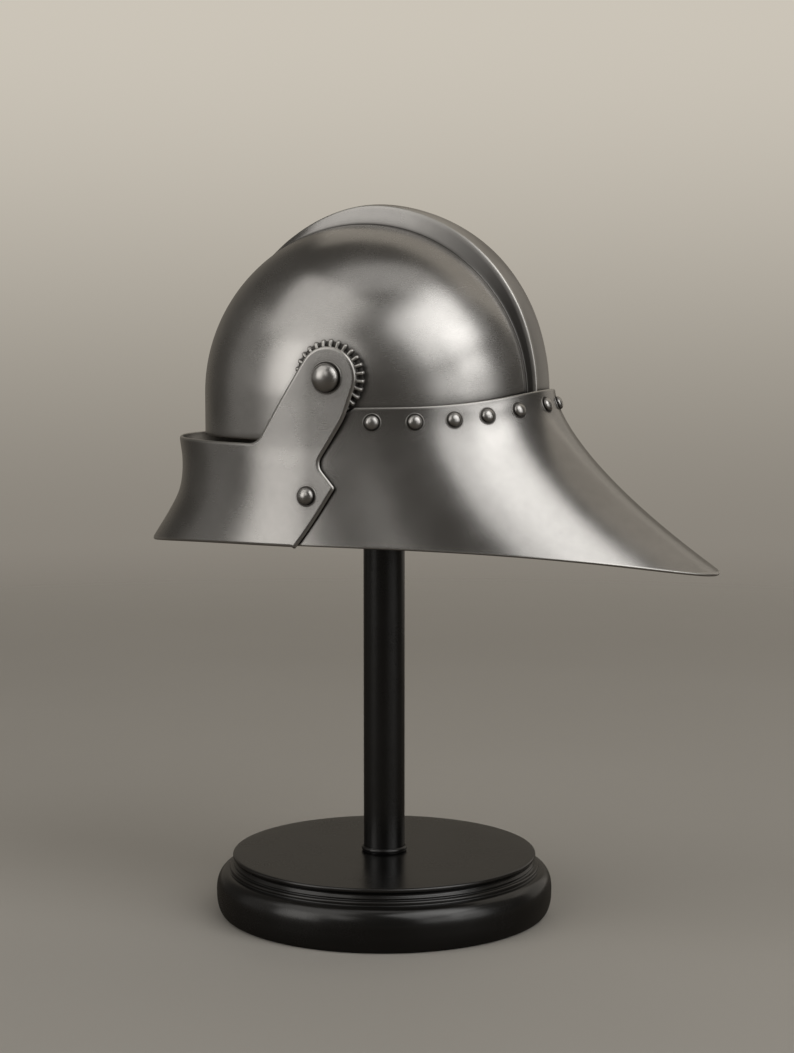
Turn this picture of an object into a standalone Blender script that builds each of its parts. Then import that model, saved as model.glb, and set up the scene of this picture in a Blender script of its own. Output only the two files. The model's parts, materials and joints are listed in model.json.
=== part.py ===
"""A sallet, a late medieval open-faced helmet, on its turned display stand.

The skull is a hollow dome with a raised comb over the crown. The tail plate is riveted round the
skull's lower edge and flares back to a rounded tip. The visor hangs from two pivot rivets with
toothed rosettes under its arms, and swings up over the brow.

Frame: +Z up, the helmet faces -Y, the wearer's left is +X, and the origin is the centre of the
stand's foot. All sizes are in metres and all angles in radians unless a name says degrees.
"""

import math

import bmesh
import bpy
from mathutils import Vector

# ---------------------------------------------------------------- driving dimensions
PLATE = 0.002
GAP = 0.0003

# skull: a dome on a short upright wall, centred a little ahead of the pole
SKULL_CENTRE_Y = -0.008
SKULL_HALF_LENGTH = 0.121
SKULL_HALF_WIDTH = 0.103
DOME_RISE = 0.1195
SPRING_HEIGHT = 0.367
SKULL_EDGE_HEIGHT = 0.339

# comb: flat-topped ridge along the crown, with sloping flanks; inside the plate it is narrower
COMB_EDGE = 0.0140
COMB_FOOT = 0.0185
COMB_NARROWING = 0.55
COMB_SECTIONS = (
    # degrees from the nape, height above the dome
    (0.0, 0.0048),
    (15.0, 0.0058),
    (30.0, 0.0080),
    (50.0, 0.0106),
    (72.0, 0.0118),
    (90.0, 0.0115),
    (105.0, 0.0074),
    (118.0, 0.0032),
    (130.0, 0.0),
    (180.0, 0.0),
)

# tail plate: its rim follows the skull and bulges over the comb, its lower edge is a teardrop
TAIL_RIM_HALF_WIDTH = 0.1056
TAIL_RIM_REACH = 0.1239
TAIL_RIM_BULGE = 0.0060
TAIL_BULGE_POWER = 6
TAIL_RIM_HEIGHT = 0.3620
TAIL_RIM_LIFT = 0.0100
TAIL_LIFT_POWER = 5
TAIL_EDGE_HALF_WIDTH = 0.1130
TAIL_EDGE_REACH = 0.2485
TAIL_EDGE_HEIGHT = 0.2706
TAIL_EDGE_DROP = 0.0193
TAIL_DROP_POWER = 2.6
TAIL_TAPER = 0.30
TAIL_FLARE_POWER = 1.53
TAIL_END_DEGREES = 98.0

# visor: sections from its lower edge up to the top of its arms, oval ahead of the skull's centre
# and straight behind it, so that the arms' ends are flat discs that turn over the rosettes
VISOR_SECTIONS = (
    # height, half length ahead of the centre, half width
    (0.2560, 0.1692, 0.1179),
    (0.2621, 0.1651, 0.1170),
    (0.2700, 0.1596, 0.1160),
    (0.2835, 0.1503, 0.1143),
    (0.2970, 0.1425, 0.1129),
    (0.3086, 0.1395, 0.1119),
    (0.3220, 0.1393, 0.1108),
    (0.3360, 0.1415, 0.1098),
    (0.3610, 0.1415, 0.1094),
    (0.3820, 0.1415, 0.1094),
    (0.4060, 0.1415, 0.1094),
)
VISOR_WRAP_DEGREES = 108.0
VISOR_RIM_HEIGHT = 0.3370
VISOR_EDGE_HEIGHT = 0.2701
VISOR_EDGE_DROP = 0.0083

# outline of the visor seen from the side, as (y, z) corners with the radius of each corner
ARM_ROUND_RADIUS = 0.0203
ARM_FRONT_CORNER = ((-0.0492, 0.3370), 0.0130)
ARM_REAR_CORNER = ((0.0163, 0.3548), 0.0420)
WAIST_CORNER = ((-0.0030, 0.3245), 0.0080)
HEEL_CORNER = ((0.0105, 0.3095), 0.0010)
LOWER_CORNER = (-0.0164, 0.2690)
OUTLINE_REACH = 0.20
OUTLINE_HALF_WIDTH = 0.16

# pivots and rivets
PIVOT_Y = 0.0042
PIVOT_Z = 0.3816
PIVOT_SHANK_RADIUS = 0.0030
PIVOT_HEAD_RADIUS = 0.0100
PIVOT_HEAD_HEIGHT = 0.0056
PIVOT_HEAD_LIFT = 0.0004
PIVOT_CLENCH = (0.0052, 0.0015)
PIVOT_CLENCH_CLEARANCE = 0.0018
HOLE_CLEARANCE = 0.0004
DRILL_MARGIN = 0.0045
ROSETTE_RADIUS = 0.0250
ROSETTE_ROOT_RADIUS = 0.0215
ROSETTE_FLAT_RADIUS = 0.0205
ROSETTE_BOSS_RADIUS = 0.0195
ROSETTE_FACE_X = 0.1063
ROSETTE_TIP_X = 0.1056
ROSETTE_UNDERSIDE_X = 0.1032
ROSETTE_LIFT = 0.0005
ROSETTE_TEETH = 27
RIVET_LIFT = 0.0006
VISOR_RIVET_Y = -0.0091
VISOR_RIVET_Z = 0.3037
VISOR_RIVET_RADIUS = 0.0057
VISOR_RIVET_HEIGHT = 0.0034
VISOR_RIVET_SHANK_RADIUS = 0.0026
VISOR_RIVET_END = 0.0002
TAIL_RIVET_DEGREES = (6.5, 22.0, 34.5, 46.0, 58.5, 71.5)
TAIL_RIVET_BELOW_RIM = 0.0098
TAIL_RIVET_RADIUS = 0.0047
TAIL_RIVET_HEIGHT = 0.0029
TAIL_RIVET_SHANK_RADIUS = 0.0019
CLENCH_RADIUS = 0.0029
CLENCH_THICKNESS = 0.0009
CLENCH_CLEARANCE = 0.0010

# stand
BASE_HEIGHT = 0.042
BASE_PROFILE = (
    # radius, height: from the middle of the top, over the mouldings, down to the foot
    (0.1055, 0.0420),
    (0.1070, 0.0413),
    (0.1077, 0.0398),
    (0.1072, 0.0384),
    (0.1058, 0.0376),
    (0.1056, 0.0362),
    (0.1066, 0.0354),
    (0.1068, 0.0344),
    (0.1062, 0.0337),
    (0.1094, 0.0333),
    (0.1100, 0.0324),
    (0.1096, 0.0311),
    (0.1140, 0.0303),
    (0.1168, 0.0285),
    (0.1186, 0.0252),
    (0.1193, 0.0200),
    (0.1193, 0.0140),
    (0.1186, 0.0076),
    (0.1168, 0.0026),
    (0.1140, 0.0000),
)
POLE_RADIUS = 0.01455
POLE_TOP = 0.4450
COLLAR_RADIUS = 0.0162
COLLAR_HEIGHT = 0.0034
COLLAR_CHAMFER = 0.0008
HEAD_RADIUS = 0.040
HEAD_RIM_DEPTH = 0.006
HEAD_CLEARANCE = 0.0015

# facets
DOME_TURNS = 22
DOME_LEANS = 9
WALL_ROWS = 2
TAIL_COLUMNS = 44
TAIL_ROWS = 9
TAIL_ROW_POWER = 1.35
VISOR_COLUMNS = 48
HOLE_SIDES = 12
TAIL_RIVET_SIDES = 12
VISOR_RIVET_SIDES = 14
PIVOT_SIDES = 20
RELIEF_SIDES = 64
POINTS_PER_TOOTH = 4
BASE_SIDES = 56
POLE_SIDES = 24
COLLAR_SIDES = 28
HEAD_SIDES = 24

SMOOTH_ANGLE = math.radians(30.0)

# finishes: base colour, roughness, metallic
FINISHES = {
    "brushed_steel": ((0.36, 0.35, 0.34, 1.0), 0.30, 1.0),
    "rivet_steel": ((0.42, 0.41, 0.40, 1.0), 0.24, 1.0),
    "black_paint": ((0.012, 0.011, 0.010, 1.0), 0.34, 0.0),
}


# ---------------------------------------------------------------- small helpers
def clear_scene():
    for item in list(bpy.data.objects):
        bpy.data.objects.remove(item, do_unlink=True)


def finish(name, part_name):
    colour, roughness, metallic = FINISHES[name]
    material = bpy.data.materials.new(part_name + "_" + name)
    material.use_nodes = True
    shader = material.node_tree.nodes["Principled BSDF"]
    shader.inputs["Base Color"].default_value = colour
    shader.inputs["Roughness"].default_value = roughness
    shader.inputs["Metallic"].default_value = metallic
    return material


def smooth_lookup(rows, at):
    """Value at a key of a table of (key, value, ...) rows, on a smooth curve through the rows."""
    last = len(rows) - 2
    low = 0
    while low < last and at > rows[low + 1][0]:
        low += 1
    start, end = rows[low], rows[low + 1]
    width = end[0] - start[0]
    t = min(max((at - start[0]) / width, 0.0), 1.0)
    values = []
    for column in range(1, len(start)):
        slopes = []
        for index in (low, low + 1):
            before = rows[max(index - 1, 0)]
            after = rows[min(index + 1, len(rows) - 1)]
            slopes.append((after[column] - before[column]) / (after[0] - before[0]))
        near = (2 * t**3 - 3 * t**2 + 1) * start[column] + (t**3 - 2 * t**2 + t) * width * slopes[0]
        far = (3 * t**2 - 2 * t**3) * end[column] + (t**3 - t**2) * width * slopes[1]
        values.append(near + far)
    return values


def add_object(name, mesh_builder, material_name, origin=(0.0, 0.0, 0.0)):
    """Turn a bmesh built in world coordinates into an object whose origin is at the given point."""
    bmesh.ops.recalc_face_normals(mesh_builder, faces=mesh_builder.faces)
    origin = Vector(origin)
    bmesh.ops.translate(mesh_builder, verts=mesh_builder.verts, vec=-origin)
    mesh = bpy.data.meshes.new(name)
    mesh_builder.to_mesh(mesh)
    mesh_builder.free()
    item = bpy.data.objects.new(name, mesh)
    item.location = origin
    bpy.context.scene.collection.objects.link(item)
    mesh.materials.append(finish(material_name, name))
    mesh.shade_smooth()
    mesh.set_sharp_from_angle(angle=SMOOTH_ANGLE)
    return item


def bridge(builder, ring, next_ring, closed):
    """Fill quads between two rows of vertices; where both use one vertex, the quad is a triangle."""
    count = len(ring) if closed else len(ring) - 1
    for index in range(count):
        following = (index + 1) % len(ring)
        corners = [ring[index], ring[following], next_ring[following], next_ring[index]]
        distinct = list(dict.fromkeys(corners))
        if len(distinct) > 2:
            builder.faces.new(distinct)


def turned_ring(builder, radius, height, sides):
    turns = [2 * math.pi * side / sides for side in range(sides)]
    return [builder.verts.new((radius * math.cos(turn), radius * math.sin(turn), height))
            for turn in turns]


def turned_body(profile, sides):
    """A closed solid turned about Z from (radius, height) rows whose ends are capped on the axis."""
    builder = bmesh.new()
    rings = [turned_ring(builder, radius, height, sides) for radius, height in profile]
    for ring, next_ring in zip(rings, rings[1:]):
        bridge(builder, ring, next_ring, closed=True)
    builder.faces.new(rings[0])
    builder.faces.new(rings[-1])
    return builder


def cut(item, cutter, operation="DIFFERENCE"):
    modifier = item.modifiers.new(cutter.name, "BOOLEAN")
    modifier.operation = operation
    modifier.object = cutter
    modifier.solver = "EXACT"


def as_cutter(item):
    item.hide_render = True
    item.display_type = "WIRE"
    return item


# ---------------------------------------------------------------- skull
def comb_height(turn):
    return smooth_lookup(COMB_SECTIONS, math.degrees(turn))[0]


def comb_share(side, inset):
    """How much of the comb's height stands at a distance from the mid plane, from 0 to 1."""
    narrowing = COMB_NARROWING * inset
    edge, foot = COMB_EDGE - narrowing, COMB_FOOT - narrowing
    return min(max((foot - abs(side)) / (foot - edge), 0.0), 1.0)


def dome_point(turn, lean, inset=0.0):
    """Turn runs from the nape (0) over the crown to the brow (pi), lean from right (-) to left."""
    side = (SKULL_HALF_WIDTH - inset) * math.sin(lean)
    rise = comb_height(turn) * comb_share(side, inset)
    length = (SKULL_HALF_LENGTH - inset) * math.cos(lean) + rise
    height = (DOME_RISE - inset) * math.cos(lean) + rise
    return Vector((side, SKULL_CENTRE_Y + math.cos(turn) * length,
                   SPRING_HEIGHT + math.sin(turn) * height))


def dome_leans(inset):
    """Leans of the dome's columns: the comb's edges and feet, then even steps to the sides."""
    half_width = SKULL_HALF_WIDTH - inset
    narrowing = COMB_NARROWING * inset
    edge = math.asin((COMB_EDGE - narrowing) / half_width)
    foot = math.asin((COMB_FOOT - narrowing) / half_width)
    steps = range(1, DOME_LEANS + 1)
    right_side = [0.0, edge, foot] + [foot + (math.pi / 2 - foot) * s / DOME_LEANS for s in steps]
    return [-lean for lean in reversed(right_side[1:])] + right_side


def skull_surface(builder, inset):
    """Vertices and faces of one side of the plate; returns the loop along its lower edge."""
    leans = dome_leans(inset)
    poles = [builder.verts.new(dome_point(0.0, lean, inset)) for lean in (leans[0], leans[-1])]
    rows = []
    for step in range(DOME_TURNS + 1):
        turn = math.pi * step / DOME_TURNS
        inner = [builder.verts.new(dome_point(turn, lean, inset)) for lean in leans[1:-1]]
        rows.append([poles[0]] + inner + [poles[1]])
    for row, next_row in zip(rows, rows[1:]):
        bridge(builder, row, next_row, closed=False)
    loop = rows[0] + rows[-1][-2:0:-1]
    for step in range(1, WALL_ROWS + 1):
        height = SPRING_HEIGHT + (SKULL_EDGE_HEIGHT - SPRING_HEIGHT) * step / WALL_ROWS
        lower = [builder.verts.new((v.co.x, v.co.y, height)) for v in loop]
        bridge(builder, loop, lower, closed=True)
        loop = lower
    return loop


def make_skull(rivet_holes, pivot_hole):
    builder = bmesh.new()
    outer_edge = skull_surface(builder, 0.0)
    inner_edge = skull_surface(builder, PLATE)
    bridge(builder, outer_edge, inner_edge, closed=True)
    skull = add_object("skull", builder, "brushed_steel")
    cut(skull, rivet_holes)
    cut(skull, pivot_hole)
    return skull


def skull_half_width_at(y, z, inset=0.0):
    """The dome's x at a place seen from the side."""
    along = (y - SKULL_CENTRE_Y) / (SKULL_HALF_LENGTH - inset)
    up = max(z - SPRING_HEIGHT, 0.0) / (DOME_RISE - inset)
    return (SKULL_HALF_WIDTH - inset) * math.sqrt(max(1.0 - along**2 - up**2, 0.0))


# ---------------------------------------------------------------- tail plate
def tail_point(turn, fall):
    """Turn runs round from the nape (0) to the left, fall from the rim (0) to the edge (1)."""
    back, side = math.cos(turn), math.sin(turn)
    rear = max(back, 0.0)
    flare = fall**TAIL_FLARE_POWER
    edge_width = TAIL_EDGE_HALF_WIDTH * (1.0 - TAIL_TAPER * rear**2)
    rim_reach = TAIL_RIM_REACH + TAIL_RIM_BULGE * rear**TAIL_BULGE_POWER
    edge_reach = TAIL_EDGE_REACH if back > 0.0 else TAIL_RIM_REACH
    half_width = TAIL_RIM_HALF_WIDTH + (edge_width - TAIL_RIM_HALF_WIDTH) * flare
    reach = rim_reach + (edge_reach - rim_reach) * flare
    rim = TAIL_RIM_HEIGHT + TAIL_RIM_LIFT * rear**TAIL_LIFT_POWER
    edge = TAIL_EDGE_HEIGHT - TAIL_EDGE_DROP * rear**TAIL_DROP_POWER
    return Vector((half_width * side, SKULL_CENTRE_Y + reach * back, rim + (edge - rim) * fall))


def tail_normal(turn, fall, step=0.002):
    across = tail_point(turn + step, fall) - tail_point(turn - step, fall)
    down = tail_point(turn, fall + step) - tail_point(turn, max(fall - step, 0.0))
    normal = down.cross(across).normalized()
    outward = Vector((math.sin(turn), math.cos(turn), 0.0))
    return normal if normal.dot(outward) > 0.0 else -normal


def make_tail_plate(rivet_holes, rosette_relief):
    builder = bmesh.new()
    end = math.radians(TAIL_END_DEGREES)
    turns = [end * (2.0 * column / TAIL_COLUMNS - 1.0) for column in range(TAIL_COLUMNS + 1)]
    falls = [(row / TAIL_ROWS) ** TAIL_ROW_POWER for row in range(TAIL_ROWS + 1)]
    rows = [[(tail_point(turn, fall), tail_normal(turn, fall)) for turn in turns]
            for fall in falls]
    outer = [[builder.verts.new(point) for point, normal in row] for row in rows]
    inner = [[builder.verts.new(point - PLATE * normal) for point, normal in row] for row in rows]
    for sheet in (outer, inner):
        for row, next_row in zip(sheet, sheet[1:]):
            bridge(builder, row, next_row, closed=False)
    bridge(builder, outer[0], inner[0], closed=False)
    bridge(builder, outer[-1], inner[-1], closed=False)
    for side in (0, -1):
        bridge(builder, [row[side] for row in outer], [row[side] for row in inner], closed=False)
    tail = add_object("tail_plate", builder, "brushed_steel")
    cut(tail, rivet_holes)
    cut(tail, rosette_relief)
    return tail


# ---------------------------------------------------------------- visor
def visor_point(turn, height, inset=0.0):
    """Turn runs round from straight ahead (0) to the left; past the side it runs straight back."""
    half_length, half_width = smooth_lookup(VISOR_SECTIONS, height)
    round_turn = max(-math.pi / 2, min(math.pi / 2, turn))
    ahead = math.cos(round_turn) - abs(turn - round_turn)
    return Vector(((half_width - inset) * math.sin(round_turn),
                   SKULL_CENTRE_Y - (half_length - inset) * ahead, height))


def visor_half_width_at(y, z):
    half_length, half_width = smooth_lookup(VISOR_SECTIONS, z)
    ahead = max(SKULL_CENTRE_Y - y, 0.0) / half_length
    return half_width * math.sqrt(1.0 - ahead**2)


def visor_seat(y, z, side, step=0.002):
    """Point on the visor's outer face and the direction it faces, on the left (1) or right (-1)."""
    slope_y = (visor_half_width_at(y + step, z) - visor_half_width_at(y - step, z)) / (2 * step)
    slope_z = (visor_half_width_at(y, z + step) - visor_half_width_at(y, z - step)) / (2 * step)
    direction = Vector((side, -slope_y, -slope_z)).normalized()
    return Vector((side * visor_half_width_at(y, z), y, z)), direction


def rounded_corner(before, corner, after, radius, steps=5):
    """Points on the arc that rounds a corner between two straight edges."""
    before, corner, after = Vector(before), Vector(corner), Vector(after)
    to_before = (before - corner).normalized()
    to_after = (after - corner).normalized()
    half = to_before.angle(to_after) / 2
    centre = corner + (to_before + to_after).normalized() * radius / math.sin(half)
    start = corner + to_before * radius / math.tan(half) - centre
    end = corner + to_after * radius / math.tan(half) - centre
    sweep = start.angle_signed(end)
    points = []
    for step in range(steps + 1):
        angle = -sweep * step / steps
        points.append(centre + Vector((start.x * math.cos(angle) - start.y * math.sin(angle),
                                       start.x * math.sin(angle) + start.y * math.cos(angle))))
    return points


def tangent_angle(point, side):
    """Angle on the arm's round end where the line from a point touches it, on the given side."""
    offset = Vector(point) - Vector((PIVOT_Y, PIVOT_Z))
    return math.atan2(offset.y, offset.x) + side * math.acos(ARM_ROUND_RADIUS / offset.length)


def arm_round_point(angle):
    return Vector((PIVOT_Y + ARM_ROUND_RADIUS * math.cos(angle),
                   PIVOT_Z + ARM_ROUND_RADIUS * math.sin(angle)))


def visor_lower_edge(steps=14):
    """The lower edge in side view: level at the sides, dipping towards the front."""
    points = []
    for step in range(steps + 1):
        ahead = math.cos(math.pi / 2 * (1.0 - step / steps))
        height = VISOR_EDGE_HEIGHT - VISOR_EDGE_DROP * ahead**3
        reach = smooth_lookup(VISOR_SECTIONS, height)[0]
        y = SKULL_CENTRE_Y - reach * ahead
        if y < LOWER_CORNER[0] - 0.004:
            points.append(Vector((y, height)))
    return points


def visor_outline(steps=16):
    """The visor seen from the left, as (y, z) points from the front of the rim, round the arm."""
    front_y = SKULL_CENTRE_Y - OUTLINE_REACH
    (front_corner, front_radius), (rear_corner, rear_radius) = ARM_FRONT_CORNER, ARM_REAR_CORNER
    front_touch = tangent_angle(front_corner, -1)
    rear_touch = tangent_angle(rear_corner, 1)
    sweep = (front_touch - rear_touch) % (2 * math.pi)
    arm_round = [arm_round_point(front_touch - sweep * step / steps) for step in range(steps + 1)]
    waist, waist_radius = WAIST_CORNER
    heel, heel_radius = HEEL_CORNER
    lower_edge = visor_lower_edge()
    outline = [Vector((front_y, VISOR_RIM_HEIGHT))]
    outline += rounded_corner(outline[0], front_corner, arm_round[0], front_radius)
    outline += arm_round
    outline += rounded_corner(arm_round[-1], rear_corner, waist, rear_radius)
    outline += rounded_corner(rear_corner, waist, heel, waist_radius)
    outline += rounded_corner(waist, heel, LOWER_CORNER, heel_radius, steps=3)
    outline += [Vector(LOWER_CORNER)] + lower_edge
    outline += [Vector((front_y, lower_edge[-1].y))]
    return outline


def make_visor(pivot_hole, visor_rivet_holes, pivot_axis):
    builder = bmesh.new()
    reach = math.radians(VISOR_WRAP_DEGREES)
    turns = [reach * (2.0 * column / VISOR_COLUMNS - 1.0) for column in range(VISOR_COLUMNS + 1)]
    heights = [row[0] for row in VISOR_SECTIONS]
    sheets = []
    for inset in (0.0, PLATE):
        sheet = [[builder.verts.new(visor_point(turn, height, inset)) for turn in turns]
                 for height in heights]
        for row, next_row in zip(sheet, sheet[1:]):
            bridge(builder, row, next_row, closed=False)
        sheets.append(sheet)
    outer, inner = sheets
    for side in (0, -1):
        bridge(builder, outer[side], inner[side], closed=False)
        bridge(builder, [row[side] for row in outer], [row[side] for row in inner], closed=False)
    visor = add_object("visor", builder, "brushed_steel", (0.0, PIVOT_Y, PIVOT_Z))
    visor.location = (0.0, 0.0, 0.0)
    visor.parent = pivot_axis

    outline = visor_outline()
    prism = bmesh.new()
    ends = [[prism.verts.new((x, point.x, point.y)) for point in outline]
            for x in (-OUTLINE_HALF_WIDTH, OUTLINE_HALF_WIDTH)]
    bridge(prism, ends[0], ends[1], closed=True)
    prism.faces.new(ends[0])
    prism.faces.new(ends[1])
    cutter = as_cutter(add_object("visor_outline", prism, "brushed_steel"))
    cut(visor, cutter, "INTERSECT")
    cut(visor, pivot_hole)
    cut(visor, visor_rivet_holes)
    return visor


# ---------------------------------------------------------------- rivets and rosettes
def domed_head(radius, height, steps=3):
    """Half profile of a round rivet head, from just off its crown down to its underside."""
    bulge = (radius**2 + height**2) / (2 * height)
    half_angle = math.asin(radius / bulge)
    rows = []
    for step in range(steps + 1):
        angle = half_angle * (0.12 + 0.88 * step / steps)
        rows.append((bulge * math.sin(angle), height - bulge * (1.0 - math.cos(angle))))
    return rows


def place_along(item, direction, location):
    item.rotation_mode = "QUATERNION"
    item.rotation_quaternion = Vector((0.0, 0.0, 1.0)).rotation_difference(direction)
    item.location = location


def make_rivet(name, location, direction, head, shank_radius, shank_length, clench, sides):
    """A rivet with its head's underside at the location; clench is (radius, thickness) or None."""
    profile = domed_head(*head) + [(shank_radius, 0.0), (shank_radius, -shank_length)]
    if clench:
        radius, thickness = clench
        profile += [(radius, -shank_length), (radius, -shank_length - thickness)]
    rivet = add_object(name, turned_body(profile, sides), "rivet_steel")
    place_along(rivet, direction, location)
    return rivet


def drill(name, holes, radius, sides=HOLE_SIDES):
    """One cutter made of a rod for each (start, end) pair of points."""
    builder = bmesh.new()
    for start, end in holes:
        direction = end - start
        rod = turned_body([(radius, 0.0), (radius, direction.length)], sides)
        turn = Vector((0.0, 0.0, 1.0)).rotation_difference(direction.normalized())
        bmesh.ops.rotate(rod, verts=rod.verts, matrix=turn.to_matrix())
        bmesh.ops.translate(rod, verts=rod.verts, vec=start)
        scrap = bpy.data.meshes.new("rod")
        rod.to_mesh(scrap)
        rod.free()
        builder.from_mesh(scrap)
        bpy.data.meshes.remove(scrap)
    return as_cutter(add_object(name, builder, "rivet_steel"))


def inside_skull_depth(start, direction):
    """Distance from a point on the tail plate, inwards, to the skull's inner face."""
    depth, step = 0.0, 0.0001
    while depth < 0.02:
        point = start - direction * depth
        share = comb_share(point.x, PLATE)
        half_length = SKULL_HALF_LENGTH - PLATE + comb_height(0.0) * share
        wide = point.x / (SKULL_HALF_WIDTH - PLATE)
        long = (point.y - SKULL_CENTRE_Y) / half_length
        if wide**2 + long**2 < 1.0:
            return depth
        depth += step
    return depth


def tail_rivet_sites():
    """Name, seat on the tail plate, direction and depth to the skull's inner face of each rivet."""
    sites = []
    left = [math.radians(degrees) for degrees in TAIL_RIVET_DEGREES]
    right = [-turn for turn in reversed(left)]
    for number, turn in enumerate(right + left, start=1):
        rim = tail_point(turn, 0.0)
        fall = TAIL_RIVET_BELOW_RIM / (rim.z - tail_point(turn, 1.0).z)
        seat = tail_point(turn, fall)
        direction = tail_normal(turn, fall)
        across = direction.cross(Vector((0.0, 0.0, 1.0))).normalized() * CLENCH_RADIUS
        depth = max(inside_skull_depth(seat + across * end, direction) for end in (-1, 0, 1))
        sites.append(("tail_rivet_%02d" % number, seat, direction, depth))
    return sites


def make_tail_rivets(sites):
    for name, seat, direction, depth in sites:
        make_rivet(name, seat + direction * RIVET_LIFT, direction,
                   (TAIL_RIVET_RADIUS, TAIL_RIVET_HEIGHT), TAIL_RIVET_SHANK_RADIUS,
                   depth + RIVET_LIFT + CLENCH_CLEARANCE, (CLENCH_RADIUS, CLENCH_THICKNESS),
                   TAIL_RIVET_SIDES)


def rosette_outline(radii, x_at, side, builder):
    """A closed row of vertices round the pivot, on the left (1) or right (-1)."""
    row = []
    for index, radius in enumerate(radii):
        angle = 2 * math.pi * index / len(radii)
        y = PIVOT_Y + radius * math.cos(angle)
        z = PIVOT_Z + radius * math.sin(angle)
        row.append(builder.verts.new((side * x_at(y, z), y, z)))
    return row


def make_rosette(name, side):
    """A toothed washer, level under the arm, on a boss whose foot follows the dome."""
    builder = bmesh.new()
    count = ROSETTE_TEETH * POINTS_PER_TOOTH
    toothed = [ROSETTE_RADIUS if index % POINTS_PER_TOOTH < POINTS_PER_TOOTH / 2
               else ROSETTE_ROOT_RADIUS for index in range(count)]
    bore = PIVOT_SHANK_RADIUS + HOLE_CLEARANCE

    def on_dome(y, z):
        return skull_half_width_at(y, z) + ROSETTE_LIFT

    sections = (
        ([ROSETTE_FLAT_RADIUS] * count, lambda y, z: ROSETTE_FACE_X),
        (toothed, lambda y, z: ROSETTE_TIP_X),
        (toothed, lambda y, z: ROSETTE_UNDERSIDE_X),
        ([ROSETTE_BOSS_RADIUS] * count, lambda y, z: ROSETTE_UNDERSIDE_X),
    )
    rows = [rosette_outline(radii, x_at, side, builder) for radii, x_at in sections]
    for row, next_row in zip(rows, rows[1:]):
        bridge(builder, row, next_row, closed=True)
    bores = [rosette_outline([bore] * ROSETTE_TEETH, x_at, side, builder)
             for x_at in (on_dome, lambda y, z: ROSETTE_FACE_X)]
    feet = rosette_outline([ROSETTE_BOSS_RADIUS] * ROSETTE_TEETH, on_dome, side, builder)
    bridge(builder, feet, bores[0], closed=True)
    bridge(builder, bores[0], bores[1], closed=True)
    for fine, coarse in ((rows[-1], feet), (rows[0], bores[1])):
        for index in range(ROSETTE_TEETH):
            following = (index + 1) % ROSETTE_TEETH
            first = index * POINTS_PER_TOOTH
            points = [fine[(first + step) % count] for step in range(POINTS_PER_TOOTH + 1)]
            for before, after in zip(points, points[1:]):
                builder.faces.new((before, after, coarse[index]))
            builder.faces.new((points[-1], coarse[following], coarse[index]))
    return add_object(name, builder, "rivet_steel")


def make_pivot_rivets():
    arm_face = visor_half_width_at(PIVOT_Y, PIVOT_Z)
    skull_inside = skull_half_width_at(PIVOT_Y, PIVOT_Z, PLATE)
    seat = arm_face + PIVOT_HEAD_LIFT
    length = seat - skull_inside + PIVOT_CLENCH_CLEARANCE
    for name, side in (("pivot_rivet_left", 1), ("pivot_rivet_right", -1)):
        make_rivet(name, Vector((side * seat, PIVOT_Y, PIVOT_Z)), Vector((side, 0.0, 0.0)),
                   (PIVOT_HEAD_RADIUS, PIVOT_HEAD_HEIGHT), PIVOT_SHANK_RADIUS, length,
                   PIVOT_CLENCH, PIVOT_SIDES)


def make_visor_rivets(pivot_axis):
    """Blind rivets: the shank ends just inside the visor's plate, clear of the tail plate."""
    for name, side in (("visor_rivet_left", 1), ("visor_rivet_right", -1)):
        seat, direction = visor_seat(VISOR_RIVET_Y, VISOR_RIVET_Z, side)
        rivet = make_rivet(name, seat + direction * RIVET_LIFT - pivot_axis.location, direction,
                           (VISOR_RIVET_RADIUS, VISOR_RIVET_HEIGHT), VISOR_RIVET_SHANK_RADIUS,
                           PLATE + RIVET_LIFT - VISOR_RIVET_END, None, VISOR_RIVET_SIDES)
        rivet.parent = pivot_axis


# ---------------------------------------------------------------- stand
def make_stand():
    add_object("stand_base", turned_body(BASE_PROFILE, BASE_SIDES), "black_paint")

    foot = BASE_HEIGHT + GAP
    pole = turned_body([(POLE_RADIUS, POLE_TOP), (POLE_RADIUS, foot)], POLE_SIDES)
    add_object("stand_pole", pole, "black_paint")

    collar = bmesh.new()
    bore = POLE_RADIUS + HOLE_CLEARANCE
    edge = COLLAR_RADIUS - COLLAR_CHAMFER
    middle = foot + COLLAR_HEIGHT / 2
    top = foot + COLLAR_HEIGHT
    sections = ((bore, foot), (edge, foot), (COLLAR_RADIUS, middle), (edge, top), (bore, top))
    rings = [turned_ring(collar, radius, height, COLLAR_SIDES) for radius, height in sections]
    for ring, next_ring in zip(rings, rings[1:] + rings[:1]):
        bridge(collar, ring, next_ring, closed=True)
    add_object("stand_collar", collar, "black_paint")


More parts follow.
